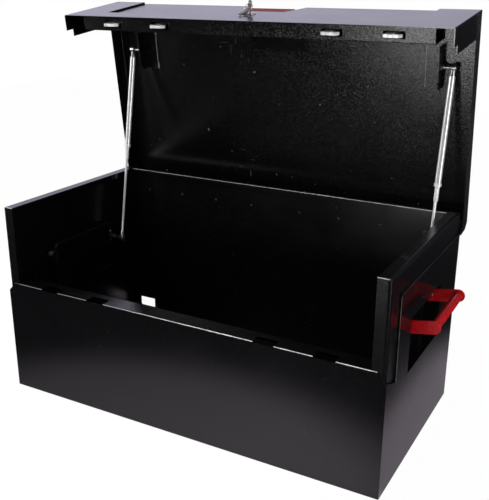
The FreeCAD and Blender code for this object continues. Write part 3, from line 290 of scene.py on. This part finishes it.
def scuff_group():
    """Sparse hairline scratches and small rubbed spots from loading and handling."""
    tree, given, made = new_tree("handling_scuffs", [("Amount", "NodeSocketFloat", 0.5)],
                                 [("Scuffs", "NodeSocketFloat")])
    place = tree.nodes.new("ShaderNodeTexCoord").outputs["Object"]
    level_lines, upright_lines = (9.0, 9.0, 260.0), (240.0, 14.0, 11.0)
    across = ramp(tree, noise(tree, stretched(tree, place, level_lines), 2.0, 2.0), 0.70, 0.76)
    along = ramp(tree, noise(tree, stretched(tree, place, upright_lines), 1.7, 2.0), 0.71, 0.77)
    patch = ramp(tree, noise(tree, place, 3.2, 3.0), 0.55, 0.68)
    spot = ramp(tree, noise(tree, place, 90.0, 1.0), 0.78, 0.82)
    lines = math_node(tree, "MAXIMUM", across, along)
    local = math_node(tree, "MULTIPLY", lines, patch)
    both = math_node(tree, "MAXIMUM", local, spot)
    scuffs = math_node(tree, "MULTIPLY", both, given.outputs["Amount"], clamp=True)
    tree.links.new(scuffs, made.inputs["Scuffs"])
    return tree


def edge_highlight_group():
    """Painted highlight: a thin bright line along a straight fold where the glossy coat would catch the
    lamps, the same on both sides of X.
    """
    tree, given, made = new_tree(
        "painted_edge_highlight",
        [("Line", "NodeSocketVector", (0.0, 0.0, 0.0)), ("Across", "NodeSocketVector", (0.0, 1.0, 1.0)),
         ("Width", "NodeSocketFloat", 0.0016), ("Strength", "NodeSocketFloat", 1.0),
         ("Lowest", "NodeSocketFloat", -1.0), ("Left Share", "NodeSocketFloat", 1.0),
         ("Breaks", "NodeSocketFloat", 0.5)],
        [("Highlight", "NodeSocketFloat")])
    place = tree.nodes.new("ShaderNodeTexCoord").outputs["Object"]
    axes = tree.nodes.new("ShaderNodeSeparateXYZ")
    tree.links.new(place, axes.inputs[0])
    both = tree.nodes.new("ShaderNodeCombineXYZ")
    tree.links.new(math_node(tree, "ABSOLUTE", axes.outputs["X"]), both.inputs["X"])
    tree.links.new(axes.outputs["Y"], both.inputs["Y"])
    tree.links.new(axes.outputs["Z"], both.inputs["Z"])
    away = vector_node(tree, "SUBTRACT", both.outputs[0], given.outputs["Line"])
    away = vector_node(tree, "MULTIPLY", away, given.outputs["Across"])
    share = math_node(tree, "DIVIDE", vector_node(tree, "LENGTH", away), given.outputs["Width"])
    line = math_node(tree, "MULTIPLY", ramp(tree, share, 0.6, 1.0, 1.0, 0.0), given.outputs["Strength"])
    gaps = ramp(tree, noise(tree, place, 38.0, 4.0, 0.7), 0.40, 0.60)
    keep = math_node(tree, "SUBTRACT", 1.0, math_node(tree, "MULTIPLY", gaps, given.outputs["Breaks"]))
    above = math_node(tree, "GREATER_THAN", axes.outputs["Z"], given.outputs["Lowest"])
    to_right = ramp(tree, axes.outputs["X"], *HIGHLIGHT_GAIN_X)
    lost = math_node(tree, "MULTIPLY", math_node(tree, "SUBTRACT", 1.0, given.outputs["Left Share"]),
                     math_node(tree, "SUBTRACT", 1.0, to_right))
    keep = math_node(tree, "MULTIPLY", keep, math_node(tree, "SUBTRACT", above, lost, clamp=True))
    tree.links.new(math_node(tree, "MULTIPLY", line, keep, clamp=True), made.inputs["Highlight"])
    return tree


def plating_group():
    """Drawn lines and cloudy patches of plated or ground steel."""
    tree, given, made = new_tree("plated_steel", [("Line Scale", "NodeSocketFloat", 60.0)],
                                 [("Lines", "NodeSocketFloat"), ("Cloud", "NodeSocketFloat")])
    place = tree.nodes.new("ShaderNodeTexCoord").outputs["Object"]
    drawn = noise(tree, stretched(tree, place, (1.0, 30.0, 30.0)), given.outputs["Line Scale"], 3.0, 0.6)
    tree.links.new(drawn, made.inputs["Lines"])
    tree.links.new(ramp(tree, noise(tree, place, 130.0, 4.0, 0.6), 0.3, 0.7), made.inputs["Cloud"])
    return tree


POWDER = powder_group()
SCUFFS = scuff_group()
HIGHLIGHT_LINES = edge_highlight_group()
PLATING = plating_group()


def use_group(tree, group, **values):
    node = tree.nodes.new("ShaderNodeGroup")
    node.node_tree = group
    for label, value in values.items():
        node.inputs[label.replace("_", " ")].default_value = value
    return node


def bumped(tree, height, strength, depth):
    node = tree.nodes.new("ShaderNodeBump")
    node.inputs["Strength"].default_value = strength
    node.inputs["Distance"].default_value = depth
    tree.links.new(height, node.inputs["Height"])
    return node.outputs["Normal"]


def new_material(name):
    material = bpy.data.materials.new(name)
    material.use_nodes = True
    tree = material.node_tree
    return material, tree, tree.nodes["Principled BSDF"]


def coated(name, dark, light, rough, peel_depth, peel_scale, amount, scuff_colour, highlights=(), sparkle_axes=None):
    """Powder-coated sheet: mottled colour, orange-peel bump, smudged sheen, scuffs and painted highlights
    along edges.

    With sparkle axes, the mottling is painted sparkle standing in for glints: it shows on the lid's inside
    alone and fades along the axes that they name, towards where the light falls.
    """
    material, tree, shader = new_material(name)
    powder = use_group(tree, POWDER, Peel_Scale=peel_scale)
    scuffs = use_group(tree, SCUFFS, Amount=amount)
    mottle = powder.outputs["Mottle"]
    if sparkle_axes:
        axes = tree.nodes.new("ShaderNodeSeparateXYZ")
        tree.links.new(tree.nodes.new("ShaderNodeTexCoord").outputs["Object"], axes.inputs[0])
        for axis, (low, high) in sparkle_axes.items():
            share = ramp(tree, axes.outputs[axis], low, high, SPARKLE_LEAST, 1.0)
            mottle = math_node(tree, "MULTIPLY", mottle, share)
        lean = math_node(tree, "MULTIPLY", axes.outputs["Z"], LID_LEAN)
        inside = math_node(tree, "LESS_THAN", math_node(tree, "ADD", axes.outputs["Y"], lean), LID_MIDPLANE)
        mottle = math_node(tree, "MULTIPLY", mottle, inside)
    body = mix_colour(tree, mottle, dark, light)
    worn = mix_colour(tree, scuffs.outputs["Scuffs"], body, scuff_colour)
    for values in highlights:
        painted_line = use_group(tree, HIGHLIGHT_LINES, **values)
        worn = mix_colour(tree, painted_line.outputs["Highlight"], worn, PAINTED_HIGHLIGHT)
    tree.links.new(worn, shader.inputs["Base Color"])
    sheen = ramp(tree, powder.outputs["Smudge"], 0.0, 1.0, rough - SHEEN_SPREAD, rough + SHEEN_SPREAD)
    dulled = math_node(tree, "MULTIPLY", scuffs.outputs["Scuffs"], SCUFF_DULLING)
    tree.links.new(math_node(tree, "ADD", sheen, dulled), shader.inputs["Roughness"])
    tree.links.new(bumped(tree, powder.outputs["Height"], 1.0, peel_depth), shader.inputs["Normal"])
    return material


def plated(name, bright, dull, rough, spread, metallic=1.0):
    """Plated or ground steel with drawn lines and a cloudy sheen."""
    material, tree, shader = new_material(name)
    plating = use_group(tree, PLATING)
    tree.links.new(mix_colour(tree, plating.outputs["Cloud"], bright, dull), shader.inputs["Base Color"])
    tree.links.new(ramp(tree, plating.outputs["Lines"], 0.3, 0.7, rough - spread, rough + spread),
                   shader.inputs["Roughness"])
    tree.links.new(bumped(tree, plating.outputs["Lines"], 0.4, 0.00008), shader.inputs["Normal"])
    shader.inputs["Metallic"].default_value = metallic
    return material




def black_coat(name, rough, peel_depth, peel_scale=420.0, amount=0.2, scuff_colour=DARK_SCUFF,
               light=COAT_GREY, highlights=(), sparkle_axes=None):
    return coated(name, COAT_BLACK, light, rough, peel_depth, peel_scale, amount, scuff_colour, highlights,
                  sparkle_axes)


def highlight_line(line, across, **values):
    """Values of one painted edge highlight: a point on its line and the axes that the distance is measured
    on.
    """
    return {"Line": line, "Across": across, **values}


# Painted highlights: bright lines on the front and rear rims, the column tops, the skin's front edge and
# shoulder, and the lid brackets' legs
FRONT_HIGHLIGHTS = [
    highlight_line((0.0, FRONT + FOLD_IN, FRONT_TOP - FOLD_IN), ALONG_X, Width=0.0012, Left_Share=0.12)]
REAR_HIGHLIGHTS = [
    highlight_line((0.0, REAR_RIM_FRONT + FOLD_IN, RIM_TOP - FOLD_IN), ALONG_X, Width=0.0010, Strength=0.7,
              Left_Share=0.3),
    highlight_line((0.0, BACK - FOLD_IN, RIM_TOP - FOLD_IN), ALONG_X, Width=0.0009, Strength=0.6,
              Left_Share=0.3)]
WALL_HIGHLIGHTS = [
    highlight_line((0.0, FRONT + LIP_IN, RIM_TOP - FOLD_IN), ALONG_X, Width=0.0014, Strength=0.7)]
SKIN_HIGHLIGHTS = [
    highlight_line((HALF_WIDTH, NOTCH_Y, 0.0), ALONG_Z, Strength=0.22, Lowest=NOTCH_BACK),
    highlight_line((HALF_WIDTH, 0.0, SHOULDER), ALONG_Y, Strength=0.07)]
BRACKET_HIGHLIGHTS = [
    highlight_line((WELD_X, 0.0, 0.0), (1.0, 0.0, 0.0), Width=0.0014, Strength=0.35)]

# The front, rear, wall, skin and bracket coats carry painted edge highlights
OUTER_COAT = black_coat("outer_black_coat", 0.17, 0.00008)
FRONT_COAT = black_coat("front_black_coat", 0.17, 0.00008, highlights=FRONT_HIGHLIGHTS)
REAR_COAT = black_coat("rear_black_coat", 0.20, 0.00010, highlights=REAR_HIGHLIGHTS)
WALL_COAT = black_coat("wall_black_coat", 0.24, 0.00014, 380.0, highlights=WALL_HIGHLIGHTS)
SKIN_COAT = black_coat("skin_black_coat", 0.17, 0.00006, highlights=SKIN_HIGHLIGHTS)
INNER_COAT = black_coat("inner_black_coat", 0.20, 0.00025, 200.0, 0.3, GREY_SCUFF)
# The lid and bracket coats carry painted sparkle, strongest at the top right
LID_COAT = black_coat("lid_black_coat", 0.20, 0.00025, 200.0, 0.5, (0.30, 0.30, 0.31), PAINTED_SPARKLE,
                      sparkle_axes=SPARKLE_FADE)
BRACKET_COAT = black_coat("bracket_black_coat", 0.22, 0.00025, 200.0, 0.3, GREY_SCUFF, PAINTED_SPARKLE,
                          highlights=BRACKET_HIGHLIGHTS, sparkle_axes=SPARKLE_FADE)
HINGE_COAT = black_coat("hinge_black_coat", 0.30, 0.00012, 700.0, 0.8, (0.22, 0.22, 0.22))
WELD_COAT = coated("weld_coat", (0.02, 0.02, 0.02), (0.45, 0.45, 0.46), 0.24, 0.00030, 900.0, 0.8,
                   (0.6, 0.6, 0.6))
BAR_RED = coated("lifting_bar_red", (0.16, 0.0008, 0.003), (0.10, 0.0005, 0.002), 0.60, 0.00008, 600.0,
                 0.1, (0.30, 0.02, 0.02))
RED_COAT = coated("red_handle_coat", COAT_RED, COAT_RED_DARK, 0.27, 0.00008, 600.0, 0.25,
                  (0.55, 0.10, 0.08))
ZINC_PLATE = plated("zinc_plate", ZINC, ZINC_DULL, 0.30, 0.10)
HOOK_ZINC = plated("bright_hook_zinc", (0.95, 0.95, 0.94), (0.48, 0.48, 0.47), 0.30, 0.08, 0.3)
CHROME_ROD = plated("polished_rod", (0.95, 0.95, 0.96), CHROME, 0.12, 0.04, 0.45)
STRUT_TUBE = plated("strut_tube_steel", (0.88, 0.89, 0.91), (0.70, 0.71, 0.73), 0.16, 0.05, 0.6)
KEY_NICKEL = plated("key_nickel", NICKEL, (0.26, 0.25, 0.24), 0.22, 0.07, 0.6)

FINISHES = [
    (FRONT_COAT, ["front_panel"]),
    (REAR_COAT, ["rear_panel"]),
    (OUTER_COAT, ["lid_front_panel", "cable_port_frame"]),
    (INNER_COAT, ["floor_panel", "grip_pocket"]),
    (LID_COAT, ["lid_top_panel", "lock_channel"]),
    (HINGE_COAT, ["hinge_body_leaf", "hinge_lid_leaf", "grip_pocket_bolts"]),
    (BAR_RED, ["grip_bar"]),
    (ZINC_PLATE, ["hinge_pin", "bar_guides", "lock_bar", "cable_port_rivets", "strut_bracket_bolts"]),
    (HOOK_ZINC, ["lock_hook_1", "lock_hook_2", "lock_hook_3", "lock_hook_4"]),
    (KEY_NICKEL, ["lock_key", "key_ring", "spare_keys", "lock_housing", "lock_plug"]),
]
SIDE_FINISHES = [
    (WALL_COAT, ["side_wall"]),
    (SKIN_COAT, ["side_skin"]),
    (INNER_COAT, ["handle_pocket", "strut_bracket"]),
    (BRACKET_COAT, ["lid_bracket"]),
    (RED_COAT, ["handle_arms", "handle_grip"]),
    (ZINC_PLATE, ["handle_pivots", "lower_ball", "strut_upper_ball", "strut_lower_socket",
                  "strut_upper_socket"]),
    (STRUT_TUBE, ["strut_cylinder"]),
    (HOOK_ZINC, ["strut_guide"]),
    (CHROME_ROD, ["strut_rod"]),
]


def paint(node, material):
    slots = NODES[node].data.materials
    if slots:
        for number in range(len(slots)):
            slots[number] = material
    else:
        slots.append(material)


for finish, names in FINISHES:
    for name in names:
        paint(name, finish)
for finish, names in SIDE_FINISHES:
    for name in names:
        for side, _ in SIDES:
            paint(f"{side}_{name}", finish)


# Bolts in rows: a washer, a faceted or domed head, repeated along X

def geometry_tree(name, inputs):
    tree = bpy.data.node_groups.new(name, "GeometryNodeTree")
    for label, kind, value in inputs:
        socket = tree.interface.new_socket(name=label, in_out="INPUT", socket_type=kind)
        socket.default_value = value
    tree.interface.new_socket(name="Geometry", in_out="OUTPUT", socket_type="NodeSocketGeometry")
    return tree, tree.nodes.new("NodeGroupInput"), tree.nodes.new("NodeGroupOutput")


def bolt_row_tree(material):
    """Bolt heads along X, mirrored about the middle, each facing +Z: washer, hexagon and crown.

    The shares below are of the head's radius and height.
    """
    washer = {"sides": 32, "radius_share": 1.0, "height_share": 0.2, "lift_share": 0.1}
    hexagon = {"sides": 6, "radius_share": 0.86, "height_share": 0.6, "lift_share": 0.45}
    crown_radius, crown_flatness, crown_lift = 0.72, 0.28, 0.72
    tree, given, made = geometry_tree(
        "bolt_row",
        [("Count", "NodeSocketInt", BOLT_COUNT), ("First", "NodeSocketFloat", BOLT_FIRST),
         ("Spacing", "NodeSocketFloat", BOLT_SPACING), ("Head Radius", "NodeSocketFloat", BOLT_RADIUS),
         ("Head Height", "NodeSocketFloat", NUT_HEIGHT)])
    link = tree.links.new
    offset = tree.nodes.new("ShaderNodeCombineXYZ")
    link(given.outputs["Spacing"], offset.inputs["X"])
    row = tree.nodes.new("GeometryNodeMeshLine")
    link(given.outputs["Count"], row.inputs["Count"])
    link(offset.outputs[0], row.inputs["Offset"])
    start = tree.nodes.new("ShaderNodeCombineXYZ")
    link(given.outputs["First"], start.inputs["X"])
    link(start.outputs[0], row.inputs["Start Location"])
    mirrored = tree.nodes.new("GeometryNodeTransform")
    mirrored.inputs["Scale"].default_value = (-1.0, 1.0, 1.0)
    link(row.outputs["Mesh"], mirrored.inputs["Geometry"])
    points = tree.nodes.new("GeometryNodeJoinGeometry")
    link(row.outputs["Mesh"], points.inputs["Geometry"])
    link(mirrored.outputs["Geometry"], points.inputs["Geometry"])

    def disc(sides, radius_share, height_share, lift_share):
        radius = math_node(tree, "MULTIPLY", given.outputs["Head Radius"], radius_share)
        height = math_node(tree, "MULTIPLY", given.outputs["Head Height"], height_share)
        body = tree.nodes.new("GeometryNodeMeshCylinder")
        body.inputs["Vertices"].default_value = sides
        link(radius, body.inputs["Radius"])
        link(height, body.inputs["Depth"])
        lift = tree.nodes.new("ShaderNodeCombineXYZ")
        link(math_node(tree, "MULTIPLY", given.outputs["Head Height"], lift_share), lift.inputs["Z"])
        moved = tree.nodes.new("GeometryNodeTransform")
        link(body.outputs["Mesh"], moved.inputs["Geometry"])
        link(lift.outputs[0], moved.inputs["Translation"])
        return moved.outputs["Geometry"]

    crown = tree.nodes.new("GeometryNodeMeshUVSphere")
    crown.inputs["Segments"].default_value = 24
    crown.inputs["Rings"].default_value = 12
    link(math_node(tree, "MULTIPLY", given.outputs["Head Radius"], crown_radius), crown.inputs["Radius"])
    flat = tree.nodes.new("GeometryNodeTransform")
    flat.inputs["Scale"].default_value = (1.0, 1.0, crown_flatness)
    link(crown.outputs["Mesh"], flat.inputs["Geometry"])
    top = tree.nodes.new("ShaderNodeCombineXYZ")
    link(math_node(tree, "MULTIPLY", given.outputs["Head Height"], crown_lift), top.inputs["Z"])
    seated = tree.nodes.new("GeometryNodeTransform")
    link(flat.outputs["Geometry"], seated.inputs["Geometry"])
    link(top.outputs[0], seated.inputs["Translation"])

    head = tree.nodes.new("GeometryNodeJoinGeometry")
    for part in (disc(**washer), disc(**hexagon), seated.outputs["Geometry"]):
        link(part, head.inputs["Geometry"])
    place = tree.nodes.new("GeometryNodeInstanceOnPoints")
    link(points.outputs["Geometry"], place.inputs["Points"])
    link(head.outputs["Geometry"], place.inputs["Instance"])
    solid = tree.nodes.new("GeometryNodeRealizeInstances")
    link(place.outputs["Instances"], solid.inputs["Geometry"])
    painted = tree.nodes.new("GeometryNodeSetMaterial")
    painted.inputs["Material"].default_value = material
    link(solid.outputs["Geometry"], painted.inputs["Geometry"])
    link(painted.outputs["Geometry"], made.inputs["Geometry"])
    return tree


def grown(name, tree, values, place):
    """Plain mesh from a geometry tree, moved to its place in the mesh itself."""
    seed = bpy.data.objects.new(name + "_seed", bpy.data.meshes.new(name + "_seed"))
    bpy.context.scene.collection.objects.link(seed)
    modifier = seed.modifiers.new("grow", "NODES")
    modifier.node_group = tree
    for item in tree.interface.items_tree:
        if item.item_type == "SOCKET" and item.in_out == "INPUT" and item.name in values:
            modifier[item.identifier] = values[item.name]
    depsgraph = bpy.context.evaluated_depsgraph_get()
    mesh = bpy.data.meshes.new_from_object(seed.evaluated_get(depsgraph))
    bpy.data.objects.remove(seed)
    mesh.transform(place)
    mesh.name = name
    piece = bpy.data.objects.new(name, mesh)
    bpy.context.scene.collection.objects.link(piece)
    return piece


def facing(way):
    """Turn that brings +Z to way, "-Y" or "+Y", and keeps +X."""
    return Matrix.Rotation(math.radians({"-Y": 90, "+Y": -90}[way]), 4, "X")


def bolt_rows():
    tree = bolt_row_tree(HINGE_COAT)
    still = Matrix.Identity(4)
    rows = [
        ("hinge_nut_row", "trunk", (0.0, BODY_LEAF_Y[0], BODY_BOLT_Z), "-Y", still, NUT_HEIGHT),
        ("hinge_head_row", "trunk", (0.0, BODY_LEAF_Y[1], BODY_BOLT_Z), "+Y", still, HEAD_HEIGHT),
        ("lid_nut_row", "lid", (0.0, LID_LEAF_Y[0], LID_BOLT_Z), "-Y", OPENING, NUT_HEIGHT),
        ("lid_head_row", "lid", (0.0, LID_LEAF_Y[1], LID_BOLT_Z), "+Y", OPENING, HEAD_HEIGHT),
    ]
    made = {"trunk": [], "lid": []}
    for name, body, start, way, swing, height in rows:
        values = {"Count": BOLT_COUNT, "First": BOLT_FIRST, "Spacing": BOLT_SPACING,
                  "Head Radius": BOLT_RADIUS, "Head Height": height}
        piece = grown(name, tree, values, swing @ Matrix.Translation(start) @ facing(way))
        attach(piece, body)
        made[body].append(piece)
    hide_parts("hinge_body_bolts")
    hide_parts("hinge_lid_bolts")


bolt_rows()


# Weld stitches that hold the strut brackets inside the lid

def weld_tree(material):
    """Short run of overlapping weld ripples along Y, each a little different."""
    tree, given, made = geometry_tree(
        "weld_run",
        [("Count", "NodeSocketInt", WELD_COUNT), ("Step", "NodeSocketFloat", WELD_STEP),
         ("Radius", "NodeSocketFloat", WELD_RADIUS)])
    link = tree.links.new
    offset = tree.nodes.new("ShaderNodeCombineXYZ")
    link(given.outputs["Step"], offset.inputs["Y"])
    run = tree.nodes.new("GeometryNodeMeshLine")
    link(given.outputs["Count"], run.inputs["Count"])
    link(offset.outputs[0], run.inputs["Offset"])
    ripple = tree.nodes.new("GeometryNodeMeshUVSphere")
    ripple.inputs["Segments"].default_value = 14
    ripple.inputs["Rings"].default_value = 8
    link(given.outputs["Radius"], ripple.inputs["Radius"])
    varied = tree.nodes.new("FunctionNodeRandomValue")
    varied.data_type = "FLOAT_VECTOR"
    varied.inputs["Min"].default_value = RIPPLE_LEAST
    varied.inputs["Max"].default_value = RIPPLE_MOST
    varied.inputs["Seed"].default_value = WELD_SEED
    place = tree.nodes.new("GeometryNodeInstanceOnPoints")
    link(run.outputs["Mesh"], place.inputs["Points"])
    link(ripple.outputs["Mesh"], place.inputs["Instance"])
    link(varied.outputs["Value"], place.inputs["Scale"])
    solid = tree.nodes.new("GeometryNodeRealizeInstances")
    link(place.outputs["Instances"], solid.inputs["Geometry"])
    painted = tree.nodes.new("GeometryNodeSetMaterial")
    painted.inputs["Material"].default_value = material
    link(solid.outputs["Geometry"], painted.inputs["Geometry"])
    link(painted.outputs["Geometry"], made.inputs["Geometry"])
    return tree


def bracket_welds():
    tree = weld_tree(WELD_COAT)
    for side, sign in SIDES:
        for end, y in zip(("front", "rear"), WELD_Y):
            start = OPENING @ Matrix.Translation((sign * WELD_X, y, WELD_Z))
            piece = grown(f"{side}_bracket_weld_{end}", tree, {"Count": WELD_COUNT}, start)
            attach(piece, "lid")


bracket_welds()


# Studio: floor, lamps and camera

def pool(tree, aside, ahead, middle_y, reach, level):
    """Soft oval of light on the floor."""
    wide = math_node(tree, "DIVIDE", math_node(tree, "SUBTRACT", aside, POOL_MIDDLE[0]), reach[0])
    deep = math_node(tree, "DIVIDE", math_node(tree, "SUBTRACT", ahead, middle_y), reach[1])
    squares = [math_node(tree, "MULTIPLY", way, way) for way in (wide, deep)]
    radius = math_node(tree, "SQRT", math_node(tree, "ADD", squares[0], squares[1]))
    oval = soft_ramp(tree, radius, *POOL_FADE, 1.0, 0.0)
    return math_node(tree, "MULTIPLY", oval, level)


def floor_in_coat(tree):
    """How brightly each place of the floor shows in the trunk's coat: a pool in front of the foot, a
    strip along each side and a pool behind."""
    axes = tree.nodes.new("ShaderNodeSeparateXYZ")
    tree.links.new(tree.nodes.new("ShaderNodeTexCoord").outputs["Object"], axes.inputs[0])
    aside, ahead = axes.outputs["X"], axes.outputs["Y"]
    level = ramp(tree, aside, *POOL_LEVEL_X, *POOL_LEVELS)
    front = math_node(tree, "ADD", pool(tree, aside, ahead, POOL_MIDDLE[1], POOL_REACH, level),
                      ramp(tree, aside, *FLOOR_FRONT_X, FLOOR_FRONT / 2, FLOOR_FRONT))
    strip = soft_ramp(tree, math_node(tree, "ABSOLUTE", aside), *SIDE_FADE, SIDE_GLOW, 0.0)
    strip = math_node(tree, "MULTIPLY", strip, soft_ramp(tree, ahead, *SIDE_END, 1.0, 0.0))
    rear = pool(tree, aside, ahead, REAR_POOL_Y, REAR_POOL_REACH, REAR_POOL_LEVEL)
    far = ramp(tree, ahead, *FLOOR_BACK_Y, FLOOR_FAR, FLOOR_BACK)
    behind = math_node(tree, "ADD", math_node(tree, "MAXIMUM", strip, rear), far)
    is_front = soft_ramp(tree, ahead, FRONT + FRONT_SEAM[0], FRONT + FRONT_SEAM[1], 1.0, 0.0)
    is_behind = math_node(tree, "SUBTRACT", 1.0, is_front)
    return math_node(tree, "ADD", math_node(tree, "MULTIPLY", front, is_front),
                     math_node(tree, "MULTIPLY", behind, is_behind))


def floor_material():
    material, tree, shader = new_material("studio_floor")
    shader.inputs["Base Color"].default_value = (0.92, 0.92, 0.92, 1.0)
    shader.inputs["Roughness"].default_value = 0.9
    rays = tree.nodes.new("ShaderNodeLightPath")
    glow = tree.nodes.new("ShaderNodeEmission")
    direct = math_node(tree, "MAXIMUM", rays.outputs["Is Camera Ray"], rays.outputs["Is Transmission Ray"])
    mirrored = math_node(tree, "MULTIPLY", rays.outputs["Is Glossy Ray"], floor_in_coat(tree))
    tree.links.new(math_node(tree, "MAXIMUM", direct, mirrored), glow.inputs["Strength"])
    tree.links.new(mix_colour(tree, rays.outputs["Is Glossy Ray"], (1.0, 1.0, 1.0), FLOOR_TINT),
                   glow.inputs["Color"])
    blend = tree.nodes.new("ShaderNodeMixShader")
    seen = math_node(tree, "MULTIPLY", direct, FLOOR_GLOW)
    tree.links.new(math_node(tree, "MAXIMUM", seen, rays.outputs["Is Glossy Ray"]), blend.inputs["Fac"])
    tree.links.new(shader.outputs["BSDF"], blend.inputs[1])
    tree.links.new(glow.outputs["Emission"], blend.inputs[2])
    tree.links.new(blend.outputs["Shader"], tree.nodes["Material Output"].inputs["Surface"])
    return material


def studio():
    mesh = bpy.data.meshes.new("studio_floor")
    corners = [(x * FLOOR_REACH, y * FLOOR_REACH, 0) for x, y in ((-1, -1), (1, -1), (1, 1), (-1, 1))]
    mesh.from_pydata(corners, [], [(0, 1, 2, 3)])
    floor = bpy.data.objects.new("studio_floor", mesh)
    floor.location.z = -FLOOR_SINK
    mesh.materials.append(floor_material())
    bpy.context.scene.collection.objects.link(floor)

    world = bpy.data.worlds.new("studio_white")
    world.use_nodes = True
    bpy.context.scene.world = world
    tree = world.node_tree
    ground = tree.nodes["Background"]
    rays = tree.nodes.new("ShaderNodeLightPath")
    way = tree.nodes.new("ShaderNodeSeparateXYZ")
    tree.links.new(tree.nodes.new("ShaderNodeTexCoord").outputs["Generated"], way.inputs[0])
    backdrop = ramp(tree, way.outputs["Y"], *ROOM_EDGE, ROOM_DARK, 1.0)
    rise = soft_ramp(tree, way.outputs["Z"], *HORIZON, HORIZON_DARK, 1.0)
    aside = soft_ramp(tree, way.outputs["X"], *RIGHT_EDGE, 1.0, RIGHT_DARK)
    backdrop = math_node(tree, "MULTIPLY", math_node(tree, "MULTIPLY", backdrop, rise), aside)
    direct = math_node(tree, "MAXIMUM", rays.outputs["Is Camera Ray"], rays.outputs["Is Transmission Ray"])
    mirrored = math_node(tree, "MULTIPLY", rays.outputs["Is Glossy Ray"], backdrop)
    shown = math_node(tree, "MAXIMUM", direct, rays.outputs["Is Glossy Ray"])
    clear = math_node(tree, "SUBTRACT", 1.0, shown)
    soft = math_node(tree, "MULTIPLY", clear, WORLD_SOFT)
    total = math_node(tree, "ADD", math_node(tree, "MAXIMUM", direct, mirrored), soft)
    tree.links.new(total, ground.inputs["Strength"])
    tint = mix_colour(tree, rays.outputs["Is Glossy Ray"], (1.0, 1.0, 1.0), BACKDROP_TINT)
    tree.links.new(tint, ground.inputs["Color"])


def lamp(name, place, target, size, power):
    light = bpy.data.lights.new(name, "AREA")
    light.shape = "RECTANGLE"
    light.size, light.size_y = size
    light.energy = power
    body = bpy.data.objects.new(name, light)
    body.location = place
    body.visible_camera = False
    body.rotation_euler = (Vector(target) - Vector(place)).to_track_quat("-Z", "Y").to_euler()
    bpy.context.scene.collection.objects.link(body)


def camera():
    right, up = Vector(CAMERA_RIGHT), Vector(CAMERA_UP)
    back = right.cross(up)
    turn = Matrix((right, up, back)).transposed().to_4x4()
    data = bpy.data.cameras.new("photo_camera")
    data.lens = FOCAL_PIXELS * SENSOR / LONG_SIDE
    data.sensor_width = SENSOR
    body = bpy.data.objects.new("photo_camera", data)
    body.matrix_world = Matrix.Translation(CAMERA_PLACE) @ turn
    bpy.context.scene.collection.objects.link(body)
    bpy.context.scene.camera = body


studio()
for lamp_name, (place, target, size, power) in LAMPS.items():
    lamp(lamp_name, place, target, size, power)
camera()
bpy.context.scene.view_settings.view_transform = "Standard"
